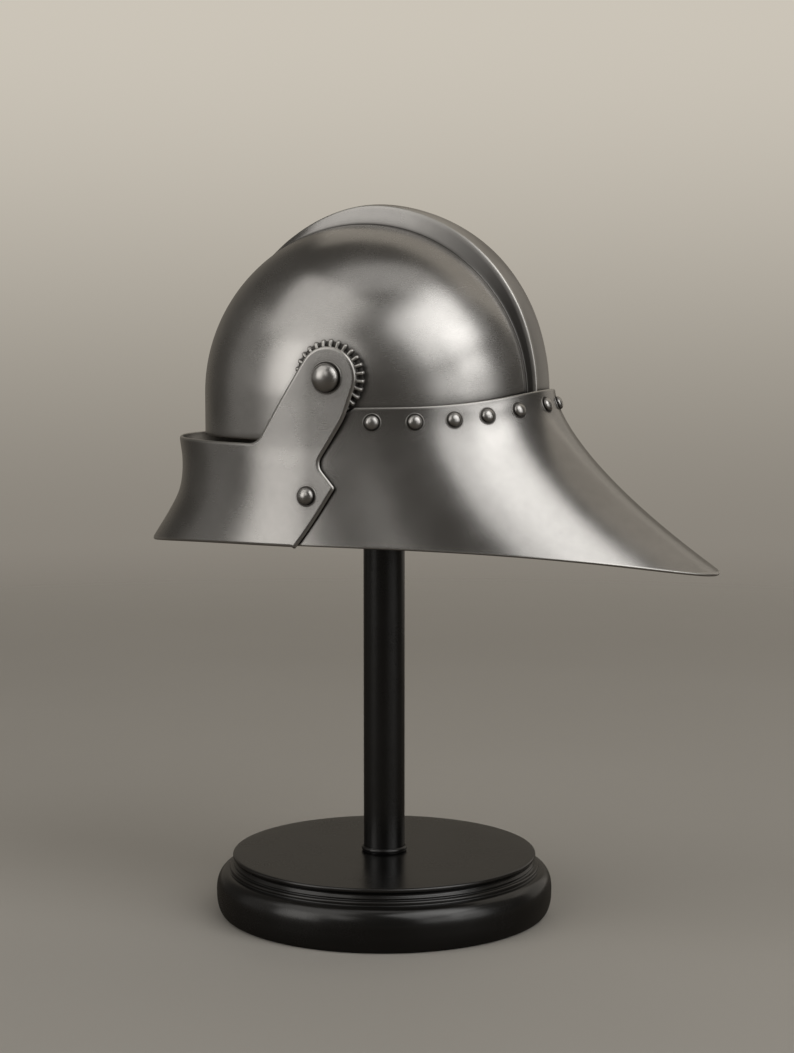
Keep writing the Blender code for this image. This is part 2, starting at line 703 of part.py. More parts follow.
def make_stand_head():
    """The plain pad inside the skull: its top follows the dome, its underside narrows to the pole."""
    builder = bmesh.new()
    rings = []

    def ring_at(radius, height_at):
        points = []
        for index in range(HEAD_SIDES):
            angle = 2 * math.pi * index / HEAD_SIDES
            x, y = radius * math.cos(angle), radius * math.sin(angle)
            points.append(builder.verts.new((x, y, height_at(x, y))))
        return points

    def under_dome(x, y):
        across = x / (SKULL_HALF_WIDTH - PLATE)
        along = (y - SKULL_CENTRE_Y) / (SKULL_HALF_LENGTH - PLATE)
        rise = (DOME_RISE - PLATE) * math.sqrt(1.0 - across**2 - along**2)
        return SPRING_HEIGHT + rise - HEAD_CLEARANCE

    rings.append(ring_at(HEAD_RADIUS * 0.4, under_dome))
    rings.append(ring_at(HEAD_RADIUS * 0.72, under_dome))
    rings.append(ring_at(HEAD_RADIUS, under_dome))
    rings.append(ring_at(HEAD_RADIUS, lambda x, y: under_dome(x, y) - HEAD_RIM_DEPTH))
    rings.append(ring_at(POLE_RADIUS, lambda x, y: POLE_TOP + GAP))
    for ring, next_ring in zip(rings, rings[1:]):
        bridge(builder, ring, next_ring, closed=True)
    top = builder.verts.new((0.0, 0.0, under_dome(0.0, 0.0)))
    for index in range(HEAD_SIDES):
        builder.faces.new((rings[0][index], rings[0][(index + 1) % HEAD_SIDES], top))
    builder.faces.new(rings[-1])
    add_object("stand_head", builder, "black_paint")


# ---------------------------------------------------------------- assembly
def main():
    clear_scene()
    pivot_axis = bpy.data.objects.new("visor_pivot", None)
    pivot_axis.location = (0.0, PIVOT_Y, PIVOT_Z)
    bpy.context.scene.collection.objects.link(pivot_axis)

    sites = tail_rivet_sites()
    rivet_rods = [(seat + direction * DRILL_MARGIN, seat - direction * (depth + DRILL_MARGIN))
                  for name, seat, direction, depth in sites]
    rivet_holes = drill("tail_rivet_holes", rivet_rods, TAIL_RIVET_SHANK_RADIUS + HOLE_CLEARANCE)
    pivot_rod = [(Vector((-OUTLINE_HALF_WIDTH, PIVOT_Y, PIVOT_Z)),
                  Vector((OUTLINE_HALF_WIDTH, PIVOT_Y, PIVOT_Z)))]
    pivot_hole = drill("pivot_hole", pivot_rod, PIVOT_SHANK_RADIUS + HOLE_CLEARANCE)
    rosette_relief = drill("rosette_relief", pivot_rod, ROSETTE_RADIUS + 2 * HOLE_CLEARANCE,
                           RELIEF_SIDES)
    visor_rods = []
    for side in (1, -1):
        seat, direction = visor_seat(VISOR_RIVET_Y, VISOR_RIVET_Z, side)
        visor_rods.append((seat + direction * DRILL_MARGIN, seat - direction * DRILL_MARGIN))
    visor_rivet_holes = drill("visor_rivet_holes", visor_rods,
                              VISOR_RIVET_SHANK_RADIUS + HOLE_CLEARANCE)

    make_skull(rivet_holes, pivot_hole)
    make_tail_plate(rivet_holes, rosette_relief)
    make_visor(pivot_hole, visor_rivet_holes, pivot_axis)
    make_tail_rivets(sites)
    make_rosette("rosette_left", 1)
    make_rosette("rosette_right", -1)
    make_pivot_rivets()
    make_visor_rivets(pivot_axis)
    make_stand()
    make_stand_head()


main()
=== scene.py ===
"""Looks of a sallet on its display stand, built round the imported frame.

Metres, +Z up, the helmet faces -Y and the wearer's left is +X. The skull, the tail plate and the
visor are fine plates with rounded edges, rivets and rosettes are turned or cut, and every surface
has a procedural finish.
"""

import json
import math

import bmesh
import bpy
import numpy as np
from mathutils import Matrix, Quaternion, Vector
from mathutils.geometry import delaunay_2d_cdt


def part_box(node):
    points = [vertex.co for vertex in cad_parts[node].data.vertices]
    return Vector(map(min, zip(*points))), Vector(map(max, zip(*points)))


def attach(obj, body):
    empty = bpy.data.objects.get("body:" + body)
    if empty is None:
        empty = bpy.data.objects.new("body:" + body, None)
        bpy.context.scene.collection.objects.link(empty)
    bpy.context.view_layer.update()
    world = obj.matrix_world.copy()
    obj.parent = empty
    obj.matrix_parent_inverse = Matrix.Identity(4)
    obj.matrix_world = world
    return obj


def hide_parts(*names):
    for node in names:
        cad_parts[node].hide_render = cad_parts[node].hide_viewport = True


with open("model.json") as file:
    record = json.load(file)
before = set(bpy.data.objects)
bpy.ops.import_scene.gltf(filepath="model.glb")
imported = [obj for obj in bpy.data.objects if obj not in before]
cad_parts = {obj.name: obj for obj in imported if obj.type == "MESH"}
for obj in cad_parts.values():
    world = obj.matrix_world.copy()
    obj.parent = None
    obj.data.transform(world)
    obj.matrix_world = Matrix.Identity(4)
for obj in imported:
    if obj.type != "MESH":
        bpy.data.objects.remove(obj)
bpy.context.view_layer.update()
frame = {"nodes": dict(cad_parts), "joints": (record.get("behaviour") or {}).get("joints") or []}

# -------- sizes and places
STILL_BODY = "stand_and_helmet"
VISOR_BODY = "visor"
PIVOT = next(joint for joint in frame["joints"] if joint["name"] == "visor_pivot")
PIVOT_Y, PIVOT_Z = PIVOT["pos_m"][1], PIVOT["pos_m"][2]
PLATE = 0.002

# skull: a dome on a short upright wall, with a flat-topped comb along the crown
SKULL_CENTRE_Y = -0.008
SKULL_HALF_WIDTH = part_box("skull")[1].x
SKULL_HALF_LENGTH = SKULL_CENTRE_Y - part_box("skull")[0].y
SKULL_EDGE_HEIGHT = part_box("skull")[0].z
SPRING_HEIGHT = 0.367
DOME_RISE = 0.1195
COMB_EDGE = 0.0140
COMB_NARROWING = 0.55
COMB_ROUNDING = 0.17
COMB_CREASE_DEPTH = 0.0005
COMB_CREASE_WIDTH = 0.0010
COMB_CREASE_PLACE = 0.0007
COMB_CREASE_SPACING = 0.0026
COMB_SECOND_CREASE = 0.45
# width of the paler line along the comb's top edge, partly rubbed and partly a painted highlight
COMB_WORN_AND_HIGHLIT_WIDTH = 0.0007
COMB_FADE_HEIGHT = 0.004
COMB_SECTIONS = (
    # degrees from the nape, height above the dome, the foot's distance from the mid plane
    (0.0, 0.0050, 0.0160),
    (15.0, 0.0060, 0.0162),
    (30.0, 0.0081, 0.0169),
    (50.0, 0.0106, 0.0180),
    (72.0, 0.0118, 0.0184),
    (90.0, 0.0115, 0.0185),
    (105.0, 0.0074, 0.0185),
    (118.0, 0.0032, 0.0185),
    (130.0, 0.0, 0.0185),
    (180.0, 0.0, 0.0185),
)
DOME_OUTER_ROWS = 150
DOME_INNER_ROWS = 60
COMB_TOP_COLUMNS = 6
COMB_FLANK_COLUMNS = 44
DOME_COLUMNS = 58

# painted shade beside the comb: its depth there and on the flat top, and the degrees from the nape
# where it starts and where it is full
COMB_SHADE_DEPTH = 0.92
COMB_SHADE_ON_TOP = 0.35
COMB_SHADE_START = 80.0
COMB_SHADE_FULL = 25.0

# tail plate
TAIL_RIM_HALF_WIDTH = 0.1056
TAIL_RIM_REACH = 0.1239
TAIL_RIM_BULGE = 0.0060
TAIL_BULGE_POWER = 6
TAIL_RIM_HEIGHT = 0.3620
TAIL_RIM_LIFT = 0.0100
TAIL_LIFT_POWER = 5
TAIL_EDGE_HALF_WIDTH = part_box("tail_plate")[1].x
TAIL_EDGE_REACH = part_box("tail_plate")[1].y - SKULL_CENTRE_Y
TAIL_EDGE_HEIGHT = 0.2706
TAIL_EDGE_DROP = 0.0193
TAIL_DROP_POWER = 2.6
TAIL_TAPER = 0.30
TAIL_FLARE_POWER = 1.53
TAIL_END_DEGREES = 98.0
TAIL_RELIEF_RADIUS = 0.0258
TAIL_COLUMNS = 320
TAIL_ROWS = 56
TAIL_RIVET_NODES = sorted(name for name in frame["nodes"] if name.startswith("tail_rivet_"))
TAIL_RIVET_DEGREES = (6.5, 22.0, 34.5, 46.0, 58.5, 71.5)
TAIL_RIVET_BELOW_RIM = 0.0098

# visor, whose outline is drawn in an unrolled plane: turn times VISOR_SCALE, height
VISOR_SCALE = 0.125
VISOR_SECTIONS = (
    # height, half length ahead of the centre, half width
    (0.2560, 0.1692, 0.1179),
    (0.2621, 0.1651, 0.1170),
    (0.2700, 0.1596, 0.1160),
    (0.2835, 0.1503, 0.1143),
    (0.2970, 0.1425, 0.1129),
    (0.3086, 0.1395, 0.1119),
    (0.3220, 0.1393, 0.1108),
    (0.3360, 0.1415, 0.1098),
    (0.3610, 0.1415, 0.1094),
    (0.3820, 0.1415, 0.1094),
    (0.4060, 0.1415, 0.1094),
)
VISOR_RIM_HEIGHT = 0.3370
VISOR_EDGE_HEIGHT = 0.2701
VISOR_EDGE_DROP = 0.0083
ARM_ROUND_RADIUS = 0.0203
ARM_FRONT_CORNER = (-0.0492, 0.3370)
ARM_FRONT_RADIUS = 0.0130
ARM_REAR_CORNERS = (
    # from the top down: y, height, radius, steps
    (0.0163, 0.3548, 0.0420, 12),
    (-0.0030, 0.3245, 0.0080, 10),
    (0.0105, 0.3095, 0.0014, 6),
    (-0.0164, 0.2690, 0.0012, 6),
)
VISOR_OUTLINE_SPACING = 0.0011
VISOR_SPACING = 0.0016
VISOR_SEAM_GAP = 0.0012
VISOR_RIVET_Y = -0.0091
VISOR_RIVET_Z = 0.3037

# rounded edges of the plates: width, depth
OUTER_ROUNDING = (0.0009, 0.0009)
VISOR_ROUNDING = (0.0021, 0.0013)
INNER_ROUNDING = (0.0005, 0.0005)
ROUNDING_STEPS = (0.0, 0.07, 0.22, 0.45, 0.72, 1.0)
# reach of the paler edges, partly rubbed and partly a painted highlight, and their share on inner
# edges
EDGE_WEAR_AND_HIGHLIGHT_REACH = 0.0022
INNER_WEAR_AND_HIGHLIGHT = 0.5

# rivets: head radius and height, shank radius, clench radius and height
TAIL_RIVET = (0.0045, 0.0035, 0.0019, 0.0029, 0.0009)
VISOR_RIVET = (0.0055, 0.0042, 0.0026, 0.0034, 0.0006)
PIVOT_RIVET = (0.0093, 0.0068, 0.0030, 0.0052, 0.0015)
VISOR_RIVET_LENGTH = 0.0021
RIVET_LIFT = 0.0002
RIVET_SIDES = 64
RIVET_RING = (
    # ring of painted shadow and lip of painted highlight round a head: beyond the head, height,
    # painted shade, paler edge
    (0.0010, 0.00010, 1.0, 0.0),
    (0.0013, 0.00012, 0.6, 0.0),
    (0.0015, 0.00008, 0.0, 0.8),
    (0.0017, -0.0003, 0.0, 0.4),
)

# rosettes
ROSETTE_TEETH = 27
ROSETTE_COLUMNS = 20
ROSETTE_BORE = 0.0034
ROSETTE_BOSS = 0.0192
ROSETTE_ROOT = 0.0200
ROSETTE_TIP = 0.0250
ROSETTE_STEP = 0.0003
ROSETTE_TIP_ROUNDING = 0.0016
ROSETTE_TOOTH_WIDTH = 0.0056
ROSETTE_NOTCH = 0.0014
ROSETTE_NOTCH_REACH = 0.32
ROSETTE_SLOPE = 0.0007
ROSETTE_FACE_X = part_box("rosette_left")[1].x
ROSETTE_FLOOR_X = ROSETTE_FACE_X - 0.0028
ROSETTE_UNDERSIDE_X = ROSETTE_FACE_X - 0.0031

# stand
BASE_SIDES = 240
BASE_TOP_RADII = (0.0, 0.004, 0.0145, 0.030, 0.060, 0.090, 0.1040)
BASE_BEADS = (
    # centre's radius, centre's depth below the top, bead's radius, degrees from, degrees to, steps
    (0.1061, 0.0017, 0.0016, 90.0, -60.0, 10),
    (0.1071, 0.0050, 0.0014, 140.0, 235.0, 8),
    (0.1057, 0.0073, 0.0011, 60.0, -60.0, 10),
    (0.1088, 0.0096, 0.0012, 95.0, -50.0, 10),
    (0.1103, 0.0109, 0.0007, 160.0, 262.0, 5),
)
TORUS_RADIUS = 0.1193
TORUS_TOP_RADIUS = 0.1106
TORUS_TOP_DEPTH = 0.0116
TORUS_SHOULDER_HEIGHT = 0.0170
TORUS_FOOT_HEIGHT = 0.0140
SOLE_RADII = (0.1140, 0.1100, 0.060, 0.0)
POLE_SIDES = 96
POLE_RADIUS = 0.01455
POLE_CHAMFER = 0.0008
COLLAR_BORE = POLE_RADIUS + 0.0002

# finishes
STEELS = {
    # name: colour, roughness, brushing, anisotropy
    # the dome's and the rivets' colours are paler and the visor's darker than the tail's: painted
    # light and shade for how the light falls on each, though the plates are one steel
    "dome_steel": ((0.65, 0.635, 0.618), 0.27, 0.12, 0.35),
    "tail_steel": ((0.56, 0.547, 0.532), 0.245, 0.06, 0.25),
    "visor_steel": ((0.51, 0.498, 0.484), 0.26, 0.06, 0.25),
    "rivet_steel": ((0.68, 0.665, 0.645), 0.29, 0.10, 0.0),
}
PAINTS = {
    # name: roughness, strength of the orange peel
    "base_black": (0.23, 0.06),
    "pole_black": (0.29, 0.05),
}
# paler colour of steel edges, partly rubbed and partly a painted highlight
WORN_AND_HIGHLIT_STEEL = (0.88, 0.86, 0.82)
# colour of painted shade, which crevices, the rings round rivets and the mesh's painted-shade
# layer darken towards
PAINTED_SHADE_COLOUR = (0.035, 0.030, 0.026)
PAINT_LOW = (0.0012, 0.0011, 0.0010)
PAINT_HIGH = (0.0026, 0.0023, 0.0021)
# paler colour of paint on edges and bead crowns, partly rubbed and partly a painted highlight
WORN_AND_HIGHLIT_PAINT = (0.045, 0.041, 0.037)

# stage
FLOOR_RADIUS = 2.6
FLOOR_SIDES = 96
FLOOR_LOW = (0.62, 0.59, 0.54)
FLOOR_HIGH = (0.66, 0.63, 0.58)
FLOOR_REFLECTED = (0.12, 0.105, 0.088)
BACKDROP_LOW = (0.25, 0.228, 0.196)
BACKDROP_HIGH = (0.60, 0.555, 0.48)
ROOM = (0.056, 0.052, 0.046)
WALL = (0.160, 0.144, 0.120)

# camera: 22 degrees behind the wearer's left side, a little above the helmet
CAMERA_TURN = math.radians(22.0)
CAMERA_DISTANCE = 1.540
CAMERA_OFFSET = 0.0091
CAMERA_HEIGHT = 0.4274
CAMERA_PITCH = math.radians(5.7)
CAMERA_LENS = 75.2

# lights
SOFTBOX_DISTANCE = 3.2
SOFTBOX_TARGET = Vector((0.0, 0.03, 0.38))
LEFT_TINT = (1.0, 0.975, 0.935)
RIGHT_TINT = (1.0, 0.99, 0.97)
SOFTBOXES = (
    # name, degrees right of the camera, up, wide, high and rolled, brightness, colour
    ("softbox_left_low", -60.5, 12.0, 29.0, 30.0, 0.0, 1.12, LEFT_TINT),
    ("softbox_left_high", -62.0, 45.0, 48.0, 34.0, 0.0, 0.60, LEFT_TINT),
    ("softbox_left_near", -31.0, 20.0, 16.0, 18.0, 0.0, 0.75, LEFT_TINT),
    ("softbox_right", 39.0, 42.0, 50.0, 38.0, 22.0, 0.95, RIGHT_TINT),
    ("softbox_right_core", 45.0, 45.0, 29.0, 22.0, 10.0, 0.52, RIGHT_TINT),
    ("softbox_right_side", 55.0, 25.0, 22.0, 26.0, 0.0, 0.78, RIGHT_TINT),
    ("softbox_right_low", 60.0, 8.0, 26.0, 26.0, 0.0, 0.68, RIGHT_TINT),
    ("softbox_right_near", 38.0, 6.0, 26.0, 16.0, 0.0, 0.70, RIGHT_TINT),
    ("softbox_top", 0.0, 78.0, 50.0, 24.0, 0.0, 0.32, (1.0, 0.98, 0.95)),
    ("softbox_front", -99.0, 12.0, 24.0, 40.0, 0.0, 0.12, LEFT_TINT),
    ("softbox_back_low", 134.0, 8.0, 34.0, 40.0, 0.0, 0.26, (1.0, 0.93, 0.83)),
    ("softbox_back", 150.0, 48.0, 74.0, 44.0, 0.0, 0.27, (1.0, 0.92, 0.80)),
)


# -------- numbers
def ramp(value, start, end):
    """0 to 1 as a value runs from start to end, held at both ends."""
    return np.clip((value - start) / (end - start), 0.0, 1.0)


def eased(share):
    return share * share * (3.0 - 2.0 * share)


def quarter(steps):
    """Angles of a quarter turn in even steps, without its start."""
    return [math.pi / 2 * step / steps for step in range(1, steps + 1)]


def unit(vectors):
    return vectors / np.linalg.norm(vectors, axis=-1, keepdims=True)


def smooth_lookup(rows, at):
    """Values at keys of a table of (key, value, ...) rows, on a smooth curve through the rows."""
    table = np.asarray(rows, float)
    keys, values = table[:, 0], table[:, 1:]
    at = np.clip(np.asarray(at, float), keys[0], keys[-1])
    last = len(keys) - 1
    low = np.clip(np.searchsorted(keys, at, side="left") - 1, 0, last - 1)
    before = np.clip(np.arange(-1, last), 0, last)
    after = np.clip(np.arange(1, last + 2), 0, last)
    slopes = (values[after] - values[before]) / (keys[after] - keys[before])[:, None]
    width = (keys[low + 1] - keys[low])[..., None]
    t = (at - keys[low])[..., None] / width
    near = (2 * t**3 - 3 * t**2 + 1) * values[low] + (t**3 - 2 * t**2 + t) * width * slopes[low]
    far = (3 * t**2 - 2 * t**3) * values[low + 1] + (t**3 - t**2) * width * slopes[low + 1]
    return near + far


def rounding_drop(distance, rounding):
    """How far a plate's face falls away at a distance from its edge."""
    width, depth = rounding
    inside = ramp(distance, width, 0.0)
    return depth * (1.0 - np.sqrt(1.0 - inside**2))


def rounding_tilt(distance, rounding):
    """Sine of the angle that the rounded face leans outwards at a distance from its edge."""
    width, depth = rounding
    inside = ramp(distance, width, 0.0)
    rise = depth * inside
    return rise / np.maximum(np.sqrt(rise**2 + width**2 * (1.0 - inside**2)), 1e-9)


def edge_wear_and_highlight(distance):
    """1 on an edge, fading to 0 a short way inside it: paler steel that is partly rubbed and
    partly a painted highlight.
    """
    return ramp(distance, EDGE_WEAR_AND_HIGHLIGHT_REACH, 0.0) ** 1.2


# -------- meshes
def placed(name, data):
    """A new object in the scene."""
    item = bpy.data.objects.new(name, data)
    bpy.context.scene.collection.objects.link(item)
    return item


def make_piece(name, points, faces, body, nodes, material, wear_and_highlight=None, shade_paint=None,
               normals=None):
    """A closed smooth mesh that rides on a body and stands for CAD nodes. Paler edges, partly
    rubbed and partly a painted highlight, and painted shade have a value for each vertex, and
    normals a direction."""
    mesh = bpy.data.meshes.new(name)
    mesh.from_pydata(points.tolist(), [], faces)
    builder = bmesh.new()
    builder.from_mesh(mesh)
    bmesh.ops.recalc_face_normals(builder, faces=builder.faces)
    builder.to_mesh(mesh)
    builder.free()
    mesh.shade_smooth()
    if normals is not None:
        mesh.normals_split_custom_set_from_vertices(normals.tolist())
    for layer, values in (("wear_and_highlight", wear_and_highlight), ("shade_paint", shade_paint)):
        values = np.zeros(len(points)) if values is None else values
        data = mesh.attributes.new(layer, "FLOAT", "POINT").data
        data.foreach_set("value", values.astype(np.float32))
    mesh.materials.append(material)
    piece = placed(name, mesh)
    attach(piece, body)
    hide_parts(*nodes)
    return piece


def grid_faces(index, closed_rows=False, closed_columns=False):
    """Quads over a grid of vertex numbers; a quad with a repeated corner becomes a triangle."""
    if closed_rows:
        index = np.vstack([index, index[:1]])
    if closed_columns:
        index = np.hstack([index, index[:, :1]])
    quads = np.stack([index[:-1, :-1], index[:-1, 1:], index[1:, 1:], index[1:, :-1]], axis=-1)
    distinct = [tuple(dict.fromkeys(quad)) for quad in quads.reshape(-1, 4).tolist()]
    return [face for face in distinct if len(face) > 2]


def turned_piece(name, rows, sides, body, nodes, material):
    """A solid turned about Z from rows of radius and height and, if given, painted shade and paler
    edges (partly rubbed, partly a painted highlight). Its first and last rows lie on the axis, or
    meet in a ring."""
    ring = rows[0] == rows[-1]
    if ring:
        rows = rows[:-1]
    turns = np.linspace(0.0, 2 * math.pi, sides, endpoint=False)
    rows = np.array([(*row, 0.0, 0.0)[:4] for row in rows])
    radius, height, shade_paint, wear_and_highlight = rows.T[:, :, None] + 0.0 * turns
    points = np.stack([radius * np.cos(turns), radius * np.sin(turns), height], axis=-1)
    index = np.arange(radius.size).reshape(radius.shape)
    first, last = 0, radius.size - 1
    if not ring:
        first, last = sides - 1, radius.size - sides
    index = np.clip(index, first, last) - first
    used = slice(first, last + 1)
    return make_piece(name, points.reshape(-1, 3)[used], grid_faces(index, ring, True), body,
                      nodes, material, wear_and_highlight.ravel()[used], shade_paint.ravel()[used])


# -------- finishes
class Finish:
    """The node tree of a material or a world, with short calls for its nodes. Colours are given
    without their alpha."""

    def __init__(self, owner):
        owner.use_nodes = True
        self.owner = owner
        self.tree = owner.node_tree
        self.shader = self.tree.nodes.get("Principled BSDF")

    def node(self, kind, settings=None, inputs=None):
        made = self.tree.nodes.new(kind)
        for key, value in (settings or {}).items():
            setattr(made, key, value)
        for key, value in (inputs or {}).items():
            self.set(made.inputs[key], value)
        return made

    def set(self, socket, value):
        if isinstance(value, bpy.types.NodeSocket):
            self.tree.links.new(value, socket)
        elif socket.type == "RGBA":
            socket.default_value = (*value, 1.0)
        else:
            socket.default_value = value

    def give(self, name, value):
        """Sets or links one of the shader's inputs."""
        self.set(self.shader.inputs[name], value)

    def place(self, kind="Object"):
        return self.node("ShaderNodeTexCoord").outputs[kind]

    def math(self, operation, first, second=0.0, third=0.0):
        inputs = {0: first, 1: second, 2: third}
        return self.node("ShaderNodeMath", {"operation": operation}, inputs).outputs[0]

    def times(self, first, second):
        return self.math("MULTIPLY", first, second)

    def noise(self, vector, scale, detail=3.0, roughness=0.5):
        inputs = {"Vector": vector, "Scale": scale, "Detail": detail, "Roughness": roughness}
        return self.node("ShaderNodeTexNoise", None, inputs).outputs["Fac"]

    def spread(self, value, low, high, to_low=0.0, to_high=1.0, interpolation="LINEAR"):
        """Maps low..high of a value to to_low..to_high, held at both ends."""
        inputs = {"Value": value, "From Min": low, "From Max": high,
                  "To Min": to_low, "To Max": to_high}
        settings = {"interpolation_type": interpolation}
        return self.node("ShaderNodeMapRange", settings, inputs).outputs[0]

    def mix(self, share, first, second, blend="MIX"):
        settings = {"data_type": "RGBA", "blend_type": blend}
        inputs = {"Factor": share, 6: first, 7: second}
        return self.node("ShaderNodeMix", settings, inputs).outputs[2]

    def layer(self, name):
        return self.node("ShaderNodeAttribute", {"attribute_name": name}).outputs["Fac"]

    def camera_ray(self):
        return self.node("ShaderNodeLightPath").outputs["Is Camera Ray"]

    def bump(self, height, distance, strength, normal=None):
        inputs = {"Height": height, "Distance": distance, "Strength": strength}
        if normal is not None:
            inputs["Normal"] = normal
        return self.node("ShaderNodeBump", None, inputs).outputs[0]


def steel(name, base, roughness, streak, anisotropy):
    """Satin plate: fine brushing round the helmet, faint clouding, paler edges that are partly
    rubbed steel and partly a painted highlight, and painted shade in crevices found by ambient
    occlusion and wherever the mesh carries painted shade.
    """
    finish = Finish(bpy.data.materials.new(name))
    place = finish.place()
    parts = finish.node("ShaderNodeSeparateXYZ", None, {0: place}).outputs
    along = finish.times(finish.math("ARCTAN2", parts[0], parts[1]), 14.0)
    across = finish.times(parts[2], 2400.0)
    brushed = finish.node("ShaderNodeCombineXYZ", None, {0: along, 1: across}).outputs[0]
    hairlines = finish.noise(brushed, 1.0, detail=4.0, roughness=0.65)
    grain = finish.noise(place, 1900.0, detail=2.0)
    clouds = finish.noise(place, 16.0)
    mottle = finish.noise(place, 120.0, detail=4.0, roughness=0.6)

    wear_and_highlight = finish.layer("wear_and_highlight")
    # painted shade: ambient occlusion darkens crevices and the ground round rivets, less so on
    # paler edges, and the mesh's painted-shade layer adds to it
    crevice = finish.node("ShaderNodeAmbientOcclusion", {"samples": 6}, {"Distance": 0.008})
    painted_shade = finish.spread(crevice.outputs["AO"], 0.42, 0.94, 1.0, 0.0)
    painted_shade = finish.times(painted_shade, finish.spread(wear_and_highlight, 0.0, 1.0, 1.0, 0.10))
    painted_shade = finish.math("MAXIMUM", painted_shade, finish.layer("shade_paint"))

    tone = finish.spread(clouds, 0.35, 0.65, 0.93, 1.05)
    tone = finish.times(tone, finish.spread(mottle, 0.3, 0.7, 0.97, 1.03))
    lines = finish.spread(hairlines, 0.3, 0.7, 1.0 - 0.16 * streak, 1.0 + 0.13 * streak)
    tone = finish.times(tone, lines)
    clean = finish.mix(1.0, base, tone, "MULTIPLY")
    # edges paler, partly rubbed and partly a painted highlight
    worn_and_highlit = finish.mix(finish.times(wear_and_highlight, 0.85), clean, WORN_AND_HIGHLIT_STEEL)
    finish.give("Base Color", finish.mix(finish.times(painted_shade, 0.92), worn_and_highlit, PAINTED_SHADE_COLOUR))

    rough = finish.spread(clouds, 0.35, 0.65, roughness - 0.025, roughness + 0.03)
    lines = finish.spread(hairlines, 0.3, 0.7, -0.07 * streak, 0.10 * streak)
    rough = finish.math("ADD", rough, lines)
    rough = finish.math("MULTIPLY_ADD", wear_and_highlight, 0.12, rough)
    finish.give("Roughness", finish.math("MULTIPLY_ADD", painted_shade, 0.15, rough))
    finish.give("Metallic", 1.0)
    finish.give("Anisotropic", anisotropy)
    tangent = finish.node("ShaderNodeTangent", {"direction_type": "RADIAL", "axis": "Z"})
    finish.give("Tangent", tangent.outputs[0])

    relief = finish.bump(hairlines, 0.00004, streak)
    relief = finish.bump(grain, 0.00005, 0.22, relief)
    finish.give("Normal", finish.bump(mottle, 0.00030, 0.03, relief))
    return finish.owner


def satin_black(name, roughness, grain_strength):
    """Black paint with a faint orange peel, and a dust-grey tone on its edges and bead crowns that
    is partly rubbed paint and partly a painted highlight.
    """
    finish = Finish(bpy.data.materials.new(name))
    place = finish.place()
    clouds = finish.noise(place, 26.0, detail=4.0)
    peel = finish.noise(place, 520.0)
    speck = finish.noise(place, 2200.0, detail=2.0)
    wear_and_highlight = finish.layer("wear_and_highlight")
    tone = finish.mix(finish.spread(clouds, 0.3, 0.7), PAINT_LOW, PAINT_HIGH)
    finish.give("Base Color", finish.mix(finish.times(wear_and_highlight, 0.5), tone, WORN_AND_HIGHLIT_PAINT))
    rough = finish.spread(clouds, 0.3, 0.7, roughness - 0.03, roughness + 0.05)
    rough = finish.math("ADD", rough, finish.spread(speck, 0.3, 0.7, -0.02, 0.03))
    finish.give("Roughness", finish.math("MULTIPLY_ADD", wear_and_highlight, -0.05, rough))
    finish.give("Specular IOR Level", 1.0)
    relief = finish.bump(peel, 0.0002, grain_strength)
    finish.give("Normal", finish.bump(speck, 0.00005, 0.3, relief))
    return finish.owner


# -------- skull
def comb_share(side, foot, inset):
    """Share of the comb's height at a distance from the mid plane, with rounded edge and foot."""
    narrowing = COMB_NARROWING * inset
    t = (foot - narrowing - np.abs(side)) / (foot - COMB_EDGE)
    w = COMB_ROUNDING
    low = np.where(t < -w, 0.0, (t + w) ** 2 / (4 * w))
    high = np.where(t > 1 + w, 1.0, 1.0 - (1 + w - t) ** 2 / (4 * w))
    return np.where(t < w, low, np.where(t > 1 - w, high, t))


def crease_share(side, foot, height):
    """1 along the chased line at the comb's foot and less along a second line outside it, fading
    out where the comb ends."""
    place = (np.abs(side) - foot - COMB_CREASE_PLACE) / COMB_CREASE_WIDTH
    second = place - COMB_CREASE_SPACING / COMB_CREASE_WIDTH
    lines = np.exp(-(place**2)) + COMB_SECOND_CREASE * np.exp(-(second**2))
    return np.minimum(lines, 1.0) * ramp(height, 0.0, COMB_FADE_HEIGHT)


def comb_shade_paint(turns, side, foot):
    """Painted shade beside the comb, and a little on its flat top: deep at the nape, gone towards
    the crown."""
    place = (np.abs(side) - COMB_EDGE - 0.0006) / (foot - COMB_EDGE)
    flank = ramp(place, 0.0, 0.15) * ramp(place, 1.5, 0.6)
    top = ramp(np.abs(side), COMB_EDGE - 0.0012, COMB_EDGE - 0.0022)
    along = ramp(np.degrees(turns), COMB_SHADE_START, COMB_SHADE_FULL)[:, None]
    return (COMB_SHADE_DEPTH * flank + COMB_SHADE_ON_TOP * top) * eased(along)


def dome_points(turn, side, inset):
    """Turn runs from the nape (0) over the crown to the brow (pi), side from right to left."""
    turn, side = np.broadcast_arrays(turn, side)
    height, foot = np.moveaxis(smooth_lookup(COMB_SECTIONS, np.degrees(turn)), -1, 0)
    rise = height * comb_share(side, foot, inset)
    if inset == 0.0:
        rise = rise - COMB_CREASE_DEPTH * crease_share(side, foot, height)
    bow = np.sqrt(np.maximum(1.0 - (side / (SKULL_HALF_WIDTH - inset)) ** 2, 0.0))
    length = (SKULL_HALF_LENGTH - inset) * bow + rise
    up = (DOME_RISE - inset) * bow + rise
    return np.stack([side, SKULL_CENTRE_Y + np.cos(turn) * length,
                     SPRING_HEIGHT + np.sin(turn) * up], axis=-1)


